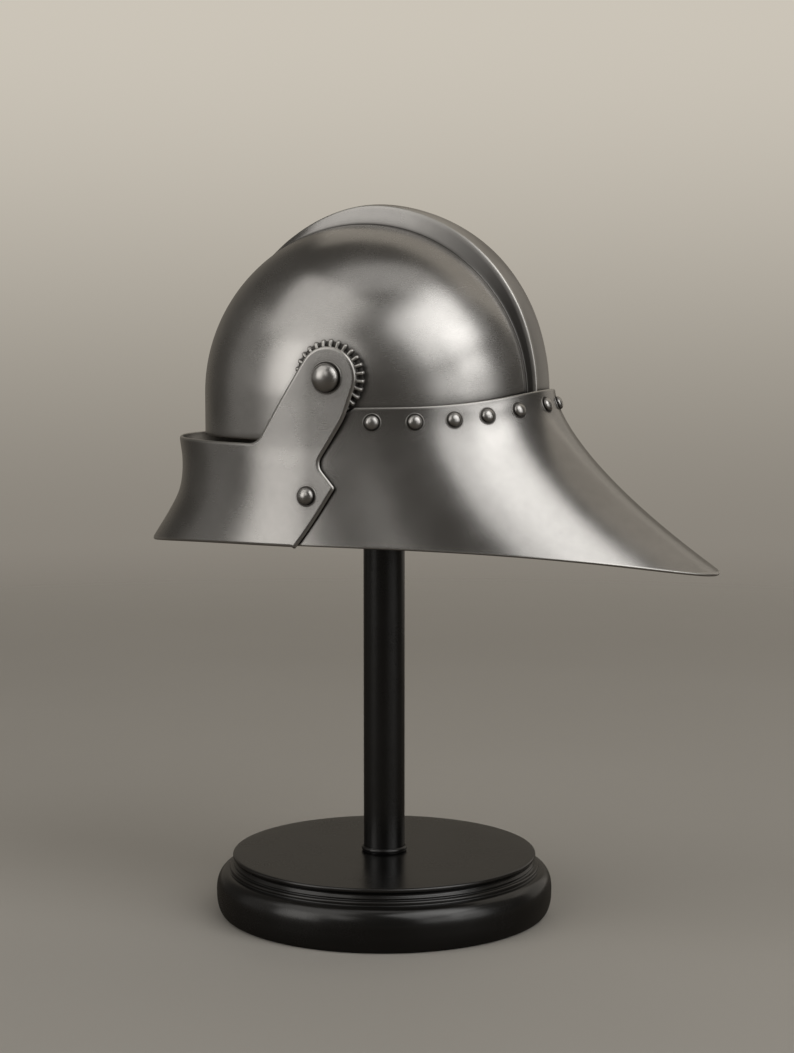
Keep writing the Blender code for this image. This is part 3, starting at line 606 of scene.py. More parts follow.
def dome_sides(turns, inset):
    """Distances of the dome's columns from the mid plane, a row for each turn, close together
    over the comb's edge and foot wherever the foot runs."""
    foot = smooth_lookup(COMB_SECTIONS, np.degrees(turns))[:, 1:]
    start, end = COMB_EDGE - 0.0016, foot + 0.0050
    flat = start * np.arange(COMB_TOP_COLUMNS) / COMB_TOP_COLUMNS + 0.0 * foot
    flank = start + (end - start) * np.arange(COMB_FLANK_COLUMNS) / COMB_FLANK_COLUMNS
    widest = SKULL_HALF_WIDTH - inset
    lean = np.arcsin(end / widest)
    far = widest * np.sin(lean + (math.pi / 2 - lean) * np.linspace(0.0, 1.0, DOME_COLUMNS))
    half = np.hstack([flat, flank, far])
    return np.hstack([-half[:, :0:-1], half])


class SkullMesh:
    """Collects the vertices and faces of the skull's two faces and its lower edge."""

    def __init__(self):
        self.points = np.zeros((0, 3))
        self.wear_and_highlight, self.shade_paint = np.zeros(0), np.zeros(0)
        self.faces = []

    def add(self, points, wear_and_highlight=0.0, shade_paint=0.0):
        """Adds vertices and returns their numbers, in the shape that they came in."""
        index = np.arange(points[..., 0].size).reshape(points.shape[:-1]) + len(self.points)
        self.points = np.vstack([self.points, points.reshape(-1, 3)])
        self.wear_and_highlight = np.append(self.wear_and_highlight, wear_and_highlight + 0.0 * points[..., 0])
        self.shade_paint = np.append(self.shade_paint, shade_paint + 0.0 * points[..., 0])
        return index

    def dome(self, inset, rows):
        """One face of the dome; returns the numbers of the loop along its spring line."""
        turns = np.linspace(0.0, math.pi, rows + 1)
        side = dome_sides(turns, inset)
        grid = dome_points(turns[:, None], side, inset)
        wear_and_highlight, shade_paint = np.zeros((2, *side.shape))
        if inset == 0.0:
            height, foot = smooth_lookup(COMB_SECTIONS, np.degrees(turns)).T[:, :, None]
            # the comb's top edge is paler, partly rubbed and partly a painted highlight; painted
            # shade lies along the crease and beside the comb
            off_edge = (np.abs(side) - COMB_EDGE + 0.0002) / COMB_WORN_AND_HIGHLIT_WIDTH
            wear_and_highlight = np.exp(-(off_edge**2)) * ramp(height, 0.0, COMB_FADE_HEIGHT)
            shade_paint = np.maximum(crease_share(side, foot, height), comb_shade_paint(turns, side, foot))
        index = self.add(grid[:, 1:-1], wear_and_highlight[:, 1:-1], shade_paint[:, 1:-1])
        right, left = self.add(grid[0, [0, -1]])
        pole = np.ones((rows + 1, 1), int)
        index = np.hstack([right * pole, index, left * pole])
        self.faces += grid_faces(index)
        return np.concatenate([index[0], index[-1][-2:0:-1]])

    def wall(self, loop, rounding, inwards, wear_and_highlight, wall_steps, edge_steps):
        """Loops from the spring line down and round the lower edge; returns the last one."""
        start = self.points[loop]
        along = np.roll(start, -1, axis=0) - np.roll(start, 1, axis=0)
        outward = unit(np.stack([-along[:, 1], along[:, 0], 0.0 * along[:, 0]], axis=-1))
        drop = SPRING_HEIGHT - SKULL_EDGE_HEIGHT - rounding
        levels = [(SPRING_HEIGHT - drop * (step + 1) / wall_steps, 0.0, 0.0)
                  for step in range(wall_steps)]
        levels += [(SKULL_EDGE_HEIGHT + rounding * (1.0 - math.sin(angle)),
                    inwards * rounding * (1.0 - math.cos(angle)), wear_and_highlight)
                   for angle in quarter(edge_steps)]
        for height, shift, worn_and_highlit in levels:
            points = start - outward * shift
            points[:, 2] = height
            index = self.add(points, worn_and_highlit)
            self.faces += grid_faces(np.vstack([loop, index]), closed_columns=True)
            loop = index
        return loop


def make_skull(material):
    skull = SkullMesh()
    outer_loop = skull.dome(0.0, DOME_OUTER_ROWS)
    inner_loop = skull.dome(PLATE, DOME_INNER_ROWS)
    # the lower edges are paler, partly rubbed and partly a painted highlight
    outer_edge = skull.wall(outer_loop, OUTER_ROUNDING[0], 1.0, 1.0, 7, 4)
    inner_edge = skull.wall(inner_loop, INNER_ROUNDING[0], -1.0, INNER_WEAR_AND_HIGHLIGHT, 4, 3)
    skull.faces += grid_faces(np.vstack([outer_edge, inner_edge]), closed_columns=True)
    make_piece("skull_plate", skull.points, skull.faces, STILL_BODY, ["skull"],
               material, skull.wear_and_highlight, skull.shade_paint)


def skull_half_width(y, z, inset=0.0):
    """The dome's x at a place seen from the side."""
    along = (y - SKULL_CENTRE_Y) / (SKULL_HALF_LENGTH - inset)
    up = np.maximum(z - SPRING_HEIGHT, 0.0) / (DOME_RISE - inset)
    return (SKULL_HALF_WIDTH - inset) * np.sqrt(np.maximum(1.0 - along**2 - up**2, 0.0))


# -------- tail plate
def tail_points(turn, fall):
    """Turn runs round from the nape (0) to the left, fall from the rim (0) to the edge (1)."""
    back, side = np.cos(turn), np.sin(turn)
    rear = np.maximum(back, 0.0)
    flare = np.maximum(fall, 0.0) ** TAIL_FLARE_POWER
    edge_width = TAIL_EDGE_HALF_WIDTH * (1.0 - TAIL_TAPER * rear**2)
    rim_reach = TAIL_RIM_REACH + TAIL_RIM_BULGE * rear**TAIL_BULGE_POWER
    edge_reach = np.where(back > 0.0, TAIL_EDGE_REACH, TAIL_RIM_REACH)
    half_width = TAIL_RIM_HALF_WIDTH + (edge_width - TAIL_RIM_HALF_WIDTH) * flare
    reach = rim_reach + (edge_reach - rim_reach) * flare
    rim = TAIL_RIM_HEIGHT + TAIL_RIM_LIFT * rear**TAIL_LIFT_POWER
    edge = TAIL_EDGE_HEIGHT - TAIL_EDGE_DROP * rear**TAIL_DROP_POWER
    return np.stack([half_width * side, SKULL_CENTRE_Y + reach * back,
                     rim + (edge - rim) * fall], axis=-1)


def tail_normals(turn, fall, step=0.002):
    across = tail_points(turn + step, fall) - tail_points(turn - step, fall)
    down = tail_points(turn, fall + step) - tail_points(turn, np.maximum(fall - step, 0.0))
    return unit(np.cross(across, down))


def tail_top_fall(turn):
    """The rim's fall: 0, or more where the plate is cut back round the rosette."""
    rim = tail_points(turn, 0.0 * turn)
    edge = tail_points(turn, 0.0 * turn + 1.0)
    reach = np.maximum(TAIL_RELIEF_RADIUS**2 - (rim[:, 1] - PIVOT_Y) ** 2, 0.0)
    cut = np.where(reach > 0.0, PIVOT_Z - np.sqrt(reach), rim[:, 2])
    top = np.minimum(rim[:, 2], cut)
    return (rim[:, 2] - top) / (rim[:, 2] - edge[:, 2])


def make_tail_plate(material):
    end = math.radians(TAIL_END_DEGREES)
    turn = np.linspace(-end, end, TAIL_COLUMNS + 1)
    samples = tail_points(turn[None, :], np.linspace(0.0, 1.0, 41)[:, None])
    length = np.linalg.norm(np.diff(samples, axis=0), axis=-1).sum(axis=0)
    middle_share = (np.arange(1, TAIL_ROWS) / TAIL_ROWS)[:, None] ** 1.25
    margin = OUTER_ROUNDING[0] * 2.2
    top_fall = tail_top_fall(turn)

    def face(rounding, outer):
        """Points down one face, with the distance of each from the nearer edge."""
        near = np.append(np.array(ROUNDING_STEPS) * rounding[0], margin)
        top = near[:, None] / length + top_fall
        bottom = 1.0 - near[::-1, None] / length
        middle = top[-1] + (bottom[0] - top[-1]) * middle_share
        fall = np.vstack([top, middle[:-1], bottom])
        distance = np.minimum(fall - top_fall, 1.0 - fall) * length
        turns = turn[None, :] + 0.0 * fall
        drop = rounding_drop(distance, rounding)
        depth = drop if outer else PLATE - drop
        points = tail_points(turns, fall) - tail_normals(turns, fall) * depth[..., None]
        return points, edge_wear_and_highlight(distance)

    outer, outer_wear_and_highlight = face(OUTER_ROUNDING, True)
    inner, inner_wear_and_highlight = face(INNER_ROUNDING, False)
    grid = np.vstack([outer, inner[::-1]])
    # the edges are paler, partly rubbed and partly a painted highlight
    wear_and_highlight = np.vstack([outer_wear_and_highlight, inner_wear_and_highlight[::-1] * INNER_WEAR_AND_HIGHLIGHT])
    index = np.arange(wear_and_highlight.size).reshape(wear_and_highlight.shape)
    faces = grid_faces(index, closed_rows=True)
    for column in (0, -1):
        front, back = np.split(index[:, column], 2)
        faces += grid_faces(np.vstack([front, back[::-1]]))
    make_piece("tail_plate_shell", grid.reshape(-1, 3), faces, STILL_BODY, ["tail_plate"],
               material, wear_and_highlight.ravel())


# -------- visor
def visor_points(turn, height):
    """Turn runs round from straight ahead (0) to the left; past the side it runs straight back."""
    sizes = smooth_lookup(VISOR_SECTIONS, height)
    round_turn = np.clip(turn, -math.pi / 2, math.pi / 2)
    ahead = np.cos(round_turn) - np.abs(turn - round_turn)
    return np.stack([sizes[..., 1] * np.sin(round_turn), SKULL_CENTRE_Y - sizes[..., 0] * ahead,
                     height + 0.0 * turn], axis=-1)


def visor_half_width(y, z):
    sizes = smooth_lookup(VISOR_SECTIONS, z)
    ahead = np.maximum(SKULL_CENTRE_Y - y, 0.0) / sizes[..., 0]
    return sizes[..., 1] * np.sqrt(1.0 - ahead**2)


def rounded_corner(before, corner, after, radius, steps):
    """Points on the arc that rounds a corner between two straight edges."""
    before, corner, after = Vector(before), Vector(corner), Vector(after)
    to_before = (before - corner).normalized()
    to_after = (after - corner).normalized()
    half = to_before.angle(to_after) / 2
    centre = corner + (to_before + to_after).normalized() * radius / math.sin(half)
    start = corner + to_before * radius / math.tan(half) - centre
    end = corner + to_after * radius / math.tan(half) - centre
    sweep = start.angle_signed(end)
    points = []
    for step in range(steps + 1):
        angle = -sweep * step / steps
        points.append(centre + Vector((start.x * math.cos(angle) - start.y * math.sin(angle),
                                       start.x * math.sin(angle) + start.y * math.cos(angle))))
    return points


def arm_round(steps):
    """The arm's round end, from where its front edge touches it to where its rear edge does."""
    touches = []
    for corner, side in ((ARM_FRONT_CORNER, -1), (ARM_REAR_CORNERS[0][:2], 1)):
        offset = Vector(corner) - Vector((PIVOT_Y, PIVOT_Z))
        angle = math.atan2(offset.y, offset.x)
        touches.append(angle + side * math.acos(ARM_ROUND_RADIUS / offset.length))
    sweep = (touches[0] - touches[1]) % (2 * math.pi)
    angles = [touches[0] - sweep * step / steps for step in range(steps + 1)]
    return [Vector((PIVOT_Y + ARM_ROUND_RADIUS * math.cos(angle),
                    PIVOT_Z + ARM_ROUND_RADIUS * math.sin(angle))) for angle in angles]


def visor_outline():
    """The left half of the visor's outline in its unrolled plane, from the rim's front round to
    the lower edge's front."""
    ahead = (SKULL_CENTRE_Y - 0.20, VISOR_RIM_HEIGHT)
    arm = arm_round(60)
    side_view = rounded_corner(ahead, ARM_FRONT_CORNER, arm[0], ARM_FRONT_RADIUS, 12) + arm
    corners = [corner[:2] for corner in ARM_REAR_CORNERS]
    y, z = corners[-1]
    route = [arm[-1], *corners, (y - 0.05, z)]
    for before, after, (y, z, radius, steps) in zip(route, route[2:], ARM_REAR_CORNERS):
        side_view += rounded_corner(before, (y, z), after, radius, steps)
    y, z = np.array([tuple(point) for point in side_view]).T
    ahead = (SKULL_CENTRE_Y - y) / smooth_lookup(VISOR_SECTIONS, z)[:, 0]
    turns = np.arccos(np.maximum(ahead, 0.0)) + np.maximum(-ahead, 0.0)
    rim_turns = np.linspace(0.0, turns[0], 80, endpoint=False)
    edge_turns = np.linspace(turns[-1] - 0.012, 0.0, 90)
    turns = np.concatenate([rim_turns, turns, edge_turns])
    heights = np.concatenate([VISOR_RIM_HEIGHT + 0.0 * rim_turns, z,
                              VISOR_EDGE_HEIGHT - VISOR_EDGE_DROP * np.cos(edge_turns) ** 3])
    return resampled(np.stack([turns * VISOR_SCALE, heights], axis=-1), VISOR_OUTLINE_SPACING)


def resampled(line, spacing):
    """The same line with points at even distances, its two ends kept."""
    lengths = np.linalg.norm(np.diff(line, axis=0), axis=1)
    line = line[np.append(True, lengths > 1e-7)]
    at = np.append(0.0, np.cumsum(np.linalg.norm(np.diff(line, axis=0), axis=1)))
    even = np.linspace(0.0, at[-1], int(at[-1] / spacing) + 1)
    return np.stack([np.interp(even, at, column) for column in line.T], axis=-1)


def to_line(points, line):
    """Distance from each point to a line of points, and the nearest place on it."""
    best = np.full(len(points), 1e9)
    nearest = np.zeros((len(points), 2))
    for first, run in zip(line[:-1], np.diff(line, axis=0)):
        t = np.clip((points - first) @ run / (run @ run), 0.0, 1.0)
        place = first + t[:, None] * run
        distance = np.linalg.norm(points - place, axis=1)
        closer = distance < best
        best[closer] = distance[closer]
        nearest[closer] = place[closer]
    return best, nearest


def inside_outline(points, outline):
    """True for points inside the closed outline."""
    inside = np.zeros(len(points), bool)
    x, y = points[:, 0], points[:, 1]
    for (x0, y0), (x1, y1) in zip(outline, np.roll(outline, -1, axis=0)):
        if y0 != y1:
            crosses = (y0 > y) != (y1 > y)
            inside ^= crosses & (x < (x1 - x0) * (y - y0) / (y1 - y0) + x0)
    return inside


def inward_directions(outline):
    """Square to the outline, and along the mid plane at its two ends."""
    along = np.gradient(outline, axis=0)
    inward = unit(np.stack([along[:, 1], -along[:, 0]], axis=-1))
    inward[[0, -1], 0] = 0.0
    return unit(inward)


def visor_sheet(outline):
    """Points and triangles of the visor's left half in its unrolled plane. Rings follow its edge,
    a square grid fills the rest, and a row of points runs down the mid plane."""
    inward = inward_directions(outline)
    points, edges, seam = [outline], [], []
    count = len(outline)
    width = VISOR_ROUNDING[0]
    for depth in [step * width for step in ROUNDING_STEPS[1:]] + [width * 1.5]:
        ring = outline + inward * depth
        ring[[0, -1], 0] = 0.0
        distance, _ = to_line(ring, outline)
        valid = (distance > depth * 0.97) & (ring[:, 0] > -1e-9)
        valid &= inside_outline(ring + [1e-9, 0.0], outline)
        valid[[0, -1]] = True
        number = count - 1 + np.cumsum(valid)
        both = valid[:-1] & valid[1:]
        edges += list(zip(number[:-1][both].tolist(), number[1:][both].tolist()))
        seam += [(ring[0, 1], number[0]), (ring[-1, 1], number[-1])]
        points.append(ring[valid])
        count = number[-1] + 1
    across = np.arange(1, int(outline[:, 0].max() / VISOR_SPACING) + 1) * VISOR_SPACING
    up = np.arange(outline[:, 1].min(), outline[:, 1].max(), VISOR_SPACING)
    grid = np.stack(np.meshgrid(across, up), axis=-1).reshape(-1, 2)
    grid = grid[inside_outline(grid, outline)]
    distance, _ = to_line(grid, outline)
    grid = grid[distance > depth + VISOR_SPACING * 0.55]
    bottom, top = ring[-1, 1] + VISOR_SEAM_GAP, ring[0, 1] - VISOR_SEAM_GAP
    heights = np.linspace(bottom, top, int((top - bottom) / VISOR_SPACING))
    points += [grid, np.stack([0.0 * heights, heights], axis=-1)]
    seam += zip(heights, count + len(grid) + np.arange(len(heights)))
    boundary = list(range(len(outline))) + [int(number) for _, number in sorted(seam)]
    vertices = [Vector(point) for point in np.vstack(points)]
    made = delaunay_2d_cdt(vertices, edges, [boundary], 1, 1e-7)
    return np.array([tuple(vertex) for vertex in made[0]]), [tuple(face) for face in made[2]]


def make_visor(material):
    outline = visor_outline()
    plane, triangles = visor_sheet(outline)
    distance, nearest = to_line(plane, outline)
    turn, height = plane[:, 0] / VISOR_SCALE, plane[:, 1]
    step = 1e-4
    round_way = visor_points(turn + step, height) - visor_points(turn - step, height)
    up_way = visor_points(turn, height + step) - visor_points(turn, height - step)
    normal = unit(np.cross(round_way, up_way))

    away = nearest - plane
    on_edge = distance < 1e-6
    away[~on_edge] /= distance[~on_edge][:, None]
    outward = -inward_directions(outline)
    for number in np.nonzero(on_edge)[0]:
        away[number] = outward[np.argmin(np.linalg.norm(outline - plane[number], axis=1))]
    away[np.abs(plane[:, 0]) < 1e-9, 0] = 0.0
    tangent = away[:, :1] * unit(round_way) + away[:, 1:] * unit(up_way)
    tangent /= np.maximum(np.linalg.norm(tangent, axis=1, keepdims=True), 1e-9)

    surface = visor_points(turn, height)
    points, normals, wear_and_highlight = [], [], []
    for rounding, facing, worn_and_highlit in ((VISOR_ROUNDING, 1.0, 1.0), (INNER_ROUNDING, -1.0, INNER_WEAR_AND_HIGHLIGHT)):
        drop = rounding_drop(distance, rounding)
        depth = drop if facing > 0 else PLATE - drop
        points.append(surface - normal * depth[:, None])
        tilt = rounding_tilt(distance, rounding)[:, None]
        normals.append(unit(facing * normal * np.sqrt(1.0 - tilt**2) + tangent * tilt))
        # the edges are paler, partly rubbed and partly a painted highlight
        wear_and_highlight.append(edge_wear_and_highlight(distance) * worn_and_highlit)
    points, normals, wear_and_highlight = np.vstack(points), np.vstack(normals), np.concatenate(wear_and_highlight)

    count = len(plane)
    off_seam = np.abs(plane[:, 0]) > 1e-9
    sides = dict.fromkeys(side for face in triangles for side in zip(face, face[1:] + face[:1]))
    border = [(a, b) for a, b in sides if (b, a) not in sides and (off_seam[a] or off_seam[b])]
    faces = triangles + [tuple(corner + count for corner in face) for face in triangles]
    faces += [(b, a, a + count, b + count) for a, b in border]

    seam = np.abs(points[:, 0]) < 1e-7
    points[seam, 0] = 0.0
    normals[seam, 0] = 0.0
    mirrored = np.where(seam, np.arange(len(points)), len(points) - 1 + np.cumsum(~seam))
    faces += [tuple(mirrored[list(face)].tolist()) for face in faces]
    flip = (-1.0, 1.0, 1.0)
    make_piece("visor_plate", np.vstack([points, points[~seam] * flip]), faces, VISOR_BODY,
               ["visor"], material, np.append(wear_and_highlight, wear_and_highlight[~seam]),
               normals=unit(np.vstack([normals, normals[~seam] * flip])))


# -------- rivets and rosettes
def make_rivet(node, seat, direction, sizes, length, body, material):
    """A rivet with a clenched end. Its head's underside turns in over a thin seat painted dark as
    shadow, and a lip just beyond the seat carries a painted highlight."""
    radius, height, shank_radius, clench_radius, clench_height = sizes
    brow = height * 0.26
    rows = [(0.0, height)]
    rows += [(radius * math.sin(angle), brow + (height - brow) * math.cos(angle))
             for angle in quarter(21)]
    rows += [(radius * (0.90 + 0.10 * math.cos(angle)), brow * (1.0 - 0.80 * math.sin(angle)),
              0.5 * math.sin(angle)) for angle in quarter(5)]
    rows += [(radius * 0.86, 0.0002, 1.0), (radius * 0.88, 0.0001, 1.0)]
    rows += [(radius + beyond, *rest) for beyond, *rest in RIVET_RING]
    rows += [
        (radius * 1.05, -0.0004, 1.0),
        (shank_radius, -0.0004, 0.6),
        (shank_radius, -length, 0.4),
        (clench_radius, -length, 0.2),
        (clench_radius, -length - clench_height * 0.5),
        (clench_radius * 0.7, -length - clench_height),
        (0.0, -length - clench_height),
    ]
    piece = turned_piece(node + "_fine", rows, RIVET_SIDES, body, [node], material)
    turn = Vector((0.0, 0.0, 1.0)).rotation_difference(Vector(direction))
    piece.data.transform(Matrix.Translation(seat) @ turn.to_matrix().to_4x4())


def make_tail_rivets(material):
    left = np.radians(TAIL_RIVET_DEGREES)
    head_height, shank_radius = TAIL_RIVET[1:3]
    for node, turn in zip(TAIL_RIVET_NODES, np.append(-left[::-1], left)[:, None]):
        drop = (tail_points(turn, np.zeros(1)) - tail_points(turn, np.ones(1)))[0, 2]
        fall = np.array([TAIL_RIVET_BELOW_RIM / drop])
        direction = tail_normals(turn, fall)[0]
        seat = tail_points(turn, fall)[0] + direction * RIVET_LIFT
        low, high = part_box(node)
        reach = (high - low).dot(Vector(np.abs(direction))) - head_height - shank_radius
        make_rivet(node, seat, direction, TAIL_RIVET, max(reach, 0.004), STILL_BODY, material)


def make_visor_rivets(material):
    step = 0.002
    y, z = VISOR_RIVET_Y, VISOR_RIVET_Z
    slope_y = (visor_half_width(y + step, z) - visor_half_width(y - step, z)) / (2 * step)
    slope_z = (visor_half_width(y, z + step) - visor_half_width(y, z - step)) / (2 * step)
    for node, side in (("visor_rivet_left", 1.0), ("visor_rivet_right", -1.0)):
        direction = unit(np.array([side, -slope_y, -slope_z]))
        seat = np.array([side * visor_half_width(y, z), y, z]) + direction * RIVET_LIFT
        make_rivet(node, seat, direction, VISOR_RIVET, VISOR_RIVET_LENGTH, VISOR_BODY, material)


def make_pivot_rivets(material):
    seat = float(visor_half_width(PIVOT_Y, PIVOT_Z)) + 2 * RIVET_LIFT
    length = seat - float(skull_half_width(PIVOT_Y, PIVOT_Z, PLATE)) + 0.0013
    for node, side in (("pivot_rivet_left", 1.0), ("pivot_rivet_right", -1.0)):
        make_rivet(node, (side * seat, PIVOT_Y, PIVOT_Z), (side, 0.0, 0.0), PIVOT_RIVET, length,
                   STILL_BODY, material)


def make_rosette(node, side, material):
    """A washer, level under the arm, with rounded radial teeth on a flange painted dark as shade,
    the teeth's crests painted as highlights. It stands on a boss whose foot follows the dome, also
    painted dark."""
    count = ROSETTE_TEETH * ROSETTE_COLUMNS
    angles = (np.arange(count) / ROSETTE_COLUMNS + 0.05) * 2 * math.pi / ROSETTE_TEETH
    phase = (np.arange(count) % ROSETTE_COLUMNS) / ROSETTE_COLUMNS - 0.5
    notch = ROSETTE_NOTCH * rounding_drop(1.0 - np.abs(phase) / ROSETTE_NOTCH_REACH, (1.0, 1.0))
    rounding = ROSETTE_TIP_ROUNDING
    radii = np.concatenate([
        [ROSETTE_BORE, 0.008, 0.014, ROSETTE_ROOT - 2 * ROSETTE_STEP],
        np.linspace(ROSETTE_ROOT - ROSETTE_STEP, ROSETTE_ROOT + ROSETTE_STEP, 4),
        np.linspace(ROSETTE_ROOT + 0.0007, ROSETTE_TIP - 0.0018, 6),
        ROSETTE_TIP - rounding * (1.0 - np.sin(np.radians(np.linspace(10.0, 90.0, 8)))),
    ])[:, None]
    bar = np.sqrt(np.clip(1.0 - (phase * radii / ROSETTE_TOOTH_WIDTH) ** 2, 0.0, 1.0))
    out = eased(ramp(radii, ROSETTE_ROOT - ROSETTE_STEP, ROSETTE_ROOT + ROSETTE_STEP))
    crest = bar**0.6 * np.sqrt(1.0 - ramp(radii, ROSETTE_TIP - rounding, ROSETTE_TIP) ** 2)
    slope = ROSETTE_SLOPE * ramp(radii, ROSETTE_ROOT, ROSETTE_TIP)
    tooth = ROSETTE_FLOOR_X + (ROSETTE_FACE_X - slope - ROSETTE_FLOOR_X) * crest
    levels = ROSETTE_FACE_X * (1.0 - out) + tooth * out
    # painted shade in the gaps between the teeth and on their sides, painted highlight on their
    # crests
    shade_paint = out * np.clip(1.2 - 2.0 * crest, 0.0, 0.85)
    wear_and_highlight = out * ramp(crest, 0.5, 1.0)

    def ring(radius, level=None):
        """Points round the washer at a level, or just off the dome if none is given."""
        reach = radius - notch * max(radius - ROSETTE_ROOT, 0.0) / (ROSETTE_TIP - ROSETTE_ROOT)
        y = PIVOT_Y + reach * np.cos(angles)
        z = PIVOT_Z + reach * np.sin(angles)
        x = skull_half_width(y, z) + 0.0003 if level is None else level + 0.0 * y
        return np.stack([side * x, y, z], axis=-1)

    rings = [ring(radius, level) for radius, level in zip(radii[:, 0], levels)]
    rings += [ring(radius, ROSETTE_UNDERSIDE_X) for radius in (ROSETTE_TIP, ROSETTE_BOSS)]
    rings += [ring(radius) for radius in (ROSETTE_BOSS, 0.012, ROSETTE_BORE)]
    # the flange's underside and the boss carry painted shade all over
    dark = np.ones((len(rings) - len(radii), count))
    index = np.arange(len(rings) * count).reshape(-1, count)
    make_piece(node + "_fine", np.concatenate(rings), grid_faces(index, True, True), STILL_BODY,
               [node], material, np.vstack([wear_and_highlight, 0.0 * dark]).ravel(),
               np.vstack([shade_paint, dark]).ravel())


# -------- stand
def bead(centre_radius, centre_height, radius, start, end, steps):
    """Points of an arc in the (radius, height) plane, from one angle to another in degrees."""
    angles = np.radians(np.linspace(start, end, steps + 1))
    return [(centre_radius + radius * math.cos(angle), centre_height + radius * math.sin(angle))
            for angle in angles]


def base_profile():
    """The base's section from the middle of its top, over its mouldings and the torus, down to
    its sole."""
    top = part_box("stand_base")[1].z
    rows = [(radius, top) for radius in BASE_TOP_RADII]
    for centre_radius, depth, *arc in BASE_BEADS:
        rows += bead(centre_radius, top - depth, *arc)
    width = TORUS_RADIUS - TORUS_TOP_RADIUS
    height = top - TORUS_TOP_DEPTH - TORUS_SHOULDER_HEIGHT
    for angle in np.radians(np.linspace(90.0, 0.0, 16)):
        rows.append((TORUS_TOP_RADIUS + width * math.cos(angle) ** 0.9,
                     TORUS_SHOULDER_HEIGHT + height * math.sin(angle)))
    rows.append((TORUS_RADIUS, (TORUS_SHOULDER_HEIGHT + TORUS_FOOT_HEIGHT) / 2))
    for angle in quarter(13):
        rows.append((SOLE_RADII[0] + (TORUS_RADIUS - SOLE_RADII[0]) * math.cos(angle),
                     TORUS_FOOT_HEIGHT * (1.0 - math.sin(angle))))
    return rows + [(radius, 0.0) for radius in SOLE_RADII[1:]]


def profile_wear_and_highlight(profile):
    """Paler paint, partly rubbed and partly a painted highlight, where a section turns sharply
    outwards, such as on a bead's crown.
    """
    points = np.array(profile)
    wear_and_highlight = np.zeros(len(points))
    along = unit(np.diff(points, axis=0) + 1e-12)
    turn = along[:-1, 0] * along[1:, 1] - along[:-1, 1] * along[1:, 0]
    wear_and_highlight[1:-1] = np.clip(-turn * 2.5, 0.0, 1.0)
    wear_and_highlight[points[:, 0] < 0.1] = 0.0
    return wear_and_highlight


def make_stand(paint, pole_paint):
    """The base, the pole and the collar round its foot. The hidden head keeps its CAD shape."""
    profile = base_profile()
    base = [(*row, 0.0, wear_and_highlight) for row, wear_and_highlight in zip(profile, profile_wear_and_highlight(profile))]

    low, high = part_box("stand_pole")
    pole = [(0.0, high.z), (POLE_RADIUS - POLE_CHAMFER, high.z)]
    pole += [(POLE_RADIUS, high.z - POLE_CHAMFER)]
    pole += [(POLE_RADIUS, low.z + (high.z - low.z) * share)
             for share in np.linspace(0.98, 0.01, 24)]
    pole += [(POLE_RADIUS, low.z), (0.0, low.z)]

    low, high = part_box("stand_collar")
    half = (high.z - low.z) / 2
    collar = [(COLLAR_BORE, low.z), (high.x - 0.0006, low.z)]
    collar += bead(high.x - half, low.z + half, half, -70.0, 70.0, 12)
    collar += [(high.x - 0.0010, high.z), (COLLAR_BORE, high.z), (COLLAR_BORE, low.z)]

    for node, rows, sides, coat in (
        ("stand_base", base, BASE_SIDES, paint),
        ("stand_pole", pole, POLE_SIDES, pole_paint),
        ("stand_collar", collar, POLE_SIDES, pole_paint),
    ):
        turned_piece(node + "_turned", rows, sides, STILL_BODY, [node], coat)
    frame["nodes"]["stand_head"].material_slots[0].material = paint


# -------- stage
def make_floor():
    """A pale round floor that fades out well behind the object, where the backdrop takes over.
    What it reflects on the object is darker, as the photo's table is."""
    finish = Finish(bpy.data.materials.new("floor_matt"))
    place = finish.place()
    tone = finish.mix(finish.spread(finish.noise(place, 1.2), 0.3, 0.7), FLOOR_LOW, FLOOR_HIGH)
    finish.give("Base Color", finish.mix(finish.camera_ray(), FLOOR_REFLECTED, tone))
    finish.give("Roughness", 0.7)
    reach = finish.node("ShaderNodeVectorMath", {"operation": "LENGTH"}, {0: place})
    finish.give("Alpha", finish.spread(reach.outputs["Value"], FLOOR_RADIUS * 0.35,
                                       FLOOR_RADIUS * 0.98, 1.0, 0.0, "SMOOTHSTEP"))
    turns = np.linspace(0.0, 2 * math.pi, FLOOR_SIDES, endpoint=False)
    rim = [(FLOOR_RADIUS * math.cos(turn), FLOOR_RADIUS * math.sin(turn), 0.0) for turn in turns]
    mesh = bpy.data.meshes.new("floor")
    mesh.from_pydata(rim, [], [tuple(range(FLOOR_SIDES))])
    mesh.materials.append(finish.owner)
    floor = placed("floor", mesh)


def make_camera():
    toward = Vector((math.cos(CAMERA_TURN), math.sin(CAMERA_TURN), 0.0))
    right = Vector((-toward.y, toward.x, 0.0))
    camera = bpy.data.cameras.new("camera")
    camera.lens = CAMERA_LENS
    camera.sensor_width = 36.0
    item = placed("camera", camera)
    item.location = toward * CAMERA_DISTANCE + right * CAMERA_OFFSET
    item.location.z = CAMERA_HEIGHT
    forward = -toward * math.cos(CAMERA_PITCH) - Vector((0.0, 0.0, math.sin(CAMERA_PITCH)))
    item.rotation_euler = forward.to_track_quat("-Z", "Y").to_euler()
    bpy.context.scene.camera = item


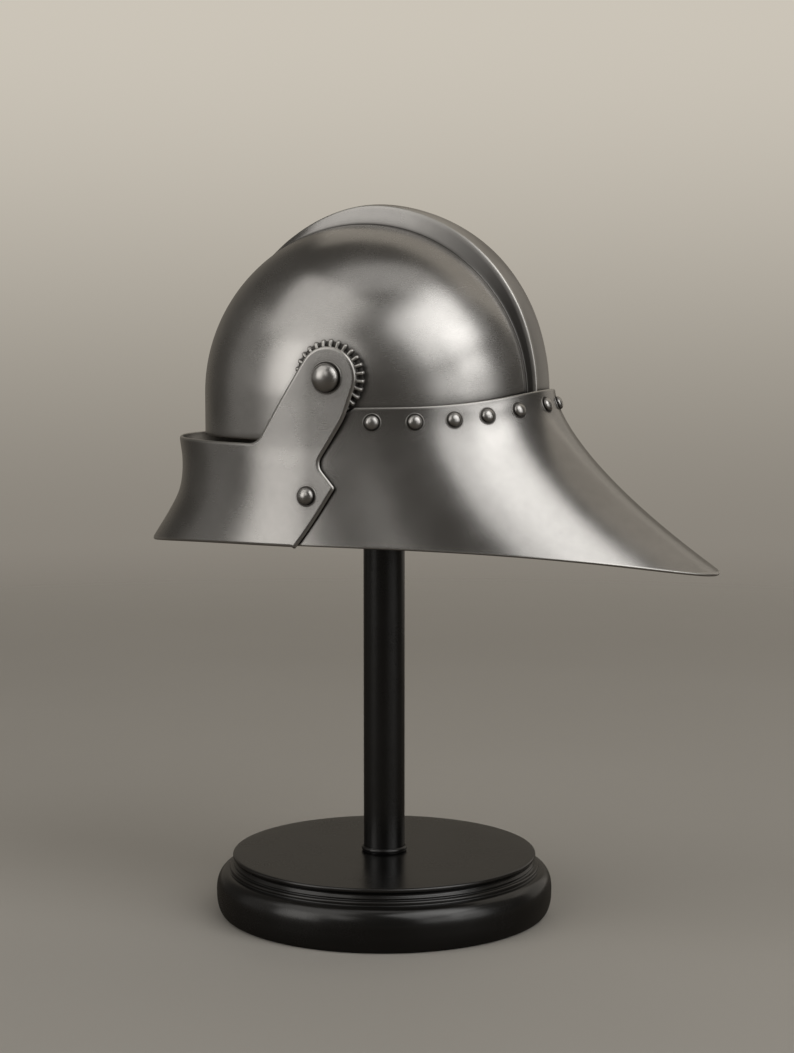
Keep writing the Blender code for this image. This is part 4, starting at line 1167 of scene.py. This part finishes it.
def make_lights():
    for name, azimuth, elevation, wide, high, roll, brightness, tint in SOFTBOXES:
        turn = CAMERA_TURN + math.radians(azimuth)
        up = math.radians(elevation)
        way = Vector((math.cos(turn) * math.cos(up), math.sin(turn) * math.cos(up), math.sin(up)))
        light = bpy.data.lights.new(name, "AREA")
        light.shape = "RECTANGLE"
        light.size, light.size_y = (2 * SOFTBOX_DISTANCE * math.tan(math.radians(angle / 2))
                                    for angle in (wide, high))
        light.energy = brightness * math.pi * light.size * light.size_y
        light.color = tint
        item = placed(name, light)
        item.location = SOFTBOX_TARGET + way * SOFTBOX_DISTANCE
        facing = (-way).to_track_quat("-Z", "Y")
        item.rotation_euler = (facing @ Quaternion((0, 0, 1), math.radians(roll))).to_euler()
        item.visible_camera = False


def make_world():
    """A dim room with a paler wall behind the object. The camera itself sees a plain backdrop
    that pales upwards from the floor's tone."""
    world = bpy.data.worlds.new("studio")
    bpy.context.scene.world = world
    studio = Finish(world)
    studio.tree.nodes.clear()
    place = studio.place("Generated")
    behind = (-math.cos(CAMERA_TURN), -math.sin(CAMERA_TURN), 0.0)
    back = studio.node("ShaderNodeVectorMath", {"operation": "DOT_PRODUCT"}, {0: place, 1: behind})
    up = studio.node("ShaderNodeSeparateXYZ", None, {0: place}).outputs[2]
    near_wall = studio.spread(back.outputs["Value"], 0.70, 0.95, interpolation="SMOOTHSTEP")
    climb = studio.spread(up, -0.12, 0.14, interpolation="SMOOTHSTEP")
    lit = studio.mix(near_wall, ROOM, WALL)
    plain = studio.mix(climb, BACKDROP_LOW, BACKDROP_HIGH)
    seen = studio.mix(studio.camera_ray(), lit, plain)
    shade = studio.node("ShaderNodeBackground", None, {"Color": seen}).outputs[0]
    studio.node("ShaderNodeOutputWorld", None, {"Surface": shade})
    bpy.context.scene.view_settings.view_transform = "Standard"


# -------- assembly
make_camera()
make_lights()
make_world()
make_floor()

finishes = {name: steel(name, *looks) for name, looks in STEELS.items()}
finishes.update((name, satin_black(name, *looks)) for name, looks in PAINTS.items())

make_skull(finishes["dome_steel"])
make_tail_plate(finishes["tail_steel"])
make_visor(finishes["visor_steel"])
make_tail_rivets(finishes["rivet_steel"])
make_visor_rivets(finishes["rivet_steel"])
make_pivot_rivets(finishes["rivet_steel"])
make_rosette("rosette_left", 1.0, finishes["rivet_steel"])
make_rosette("rosette_right", -1.0, finishes["rivet_steel"])
make_stand(finishes["base_black"], finishes["pole_black"])
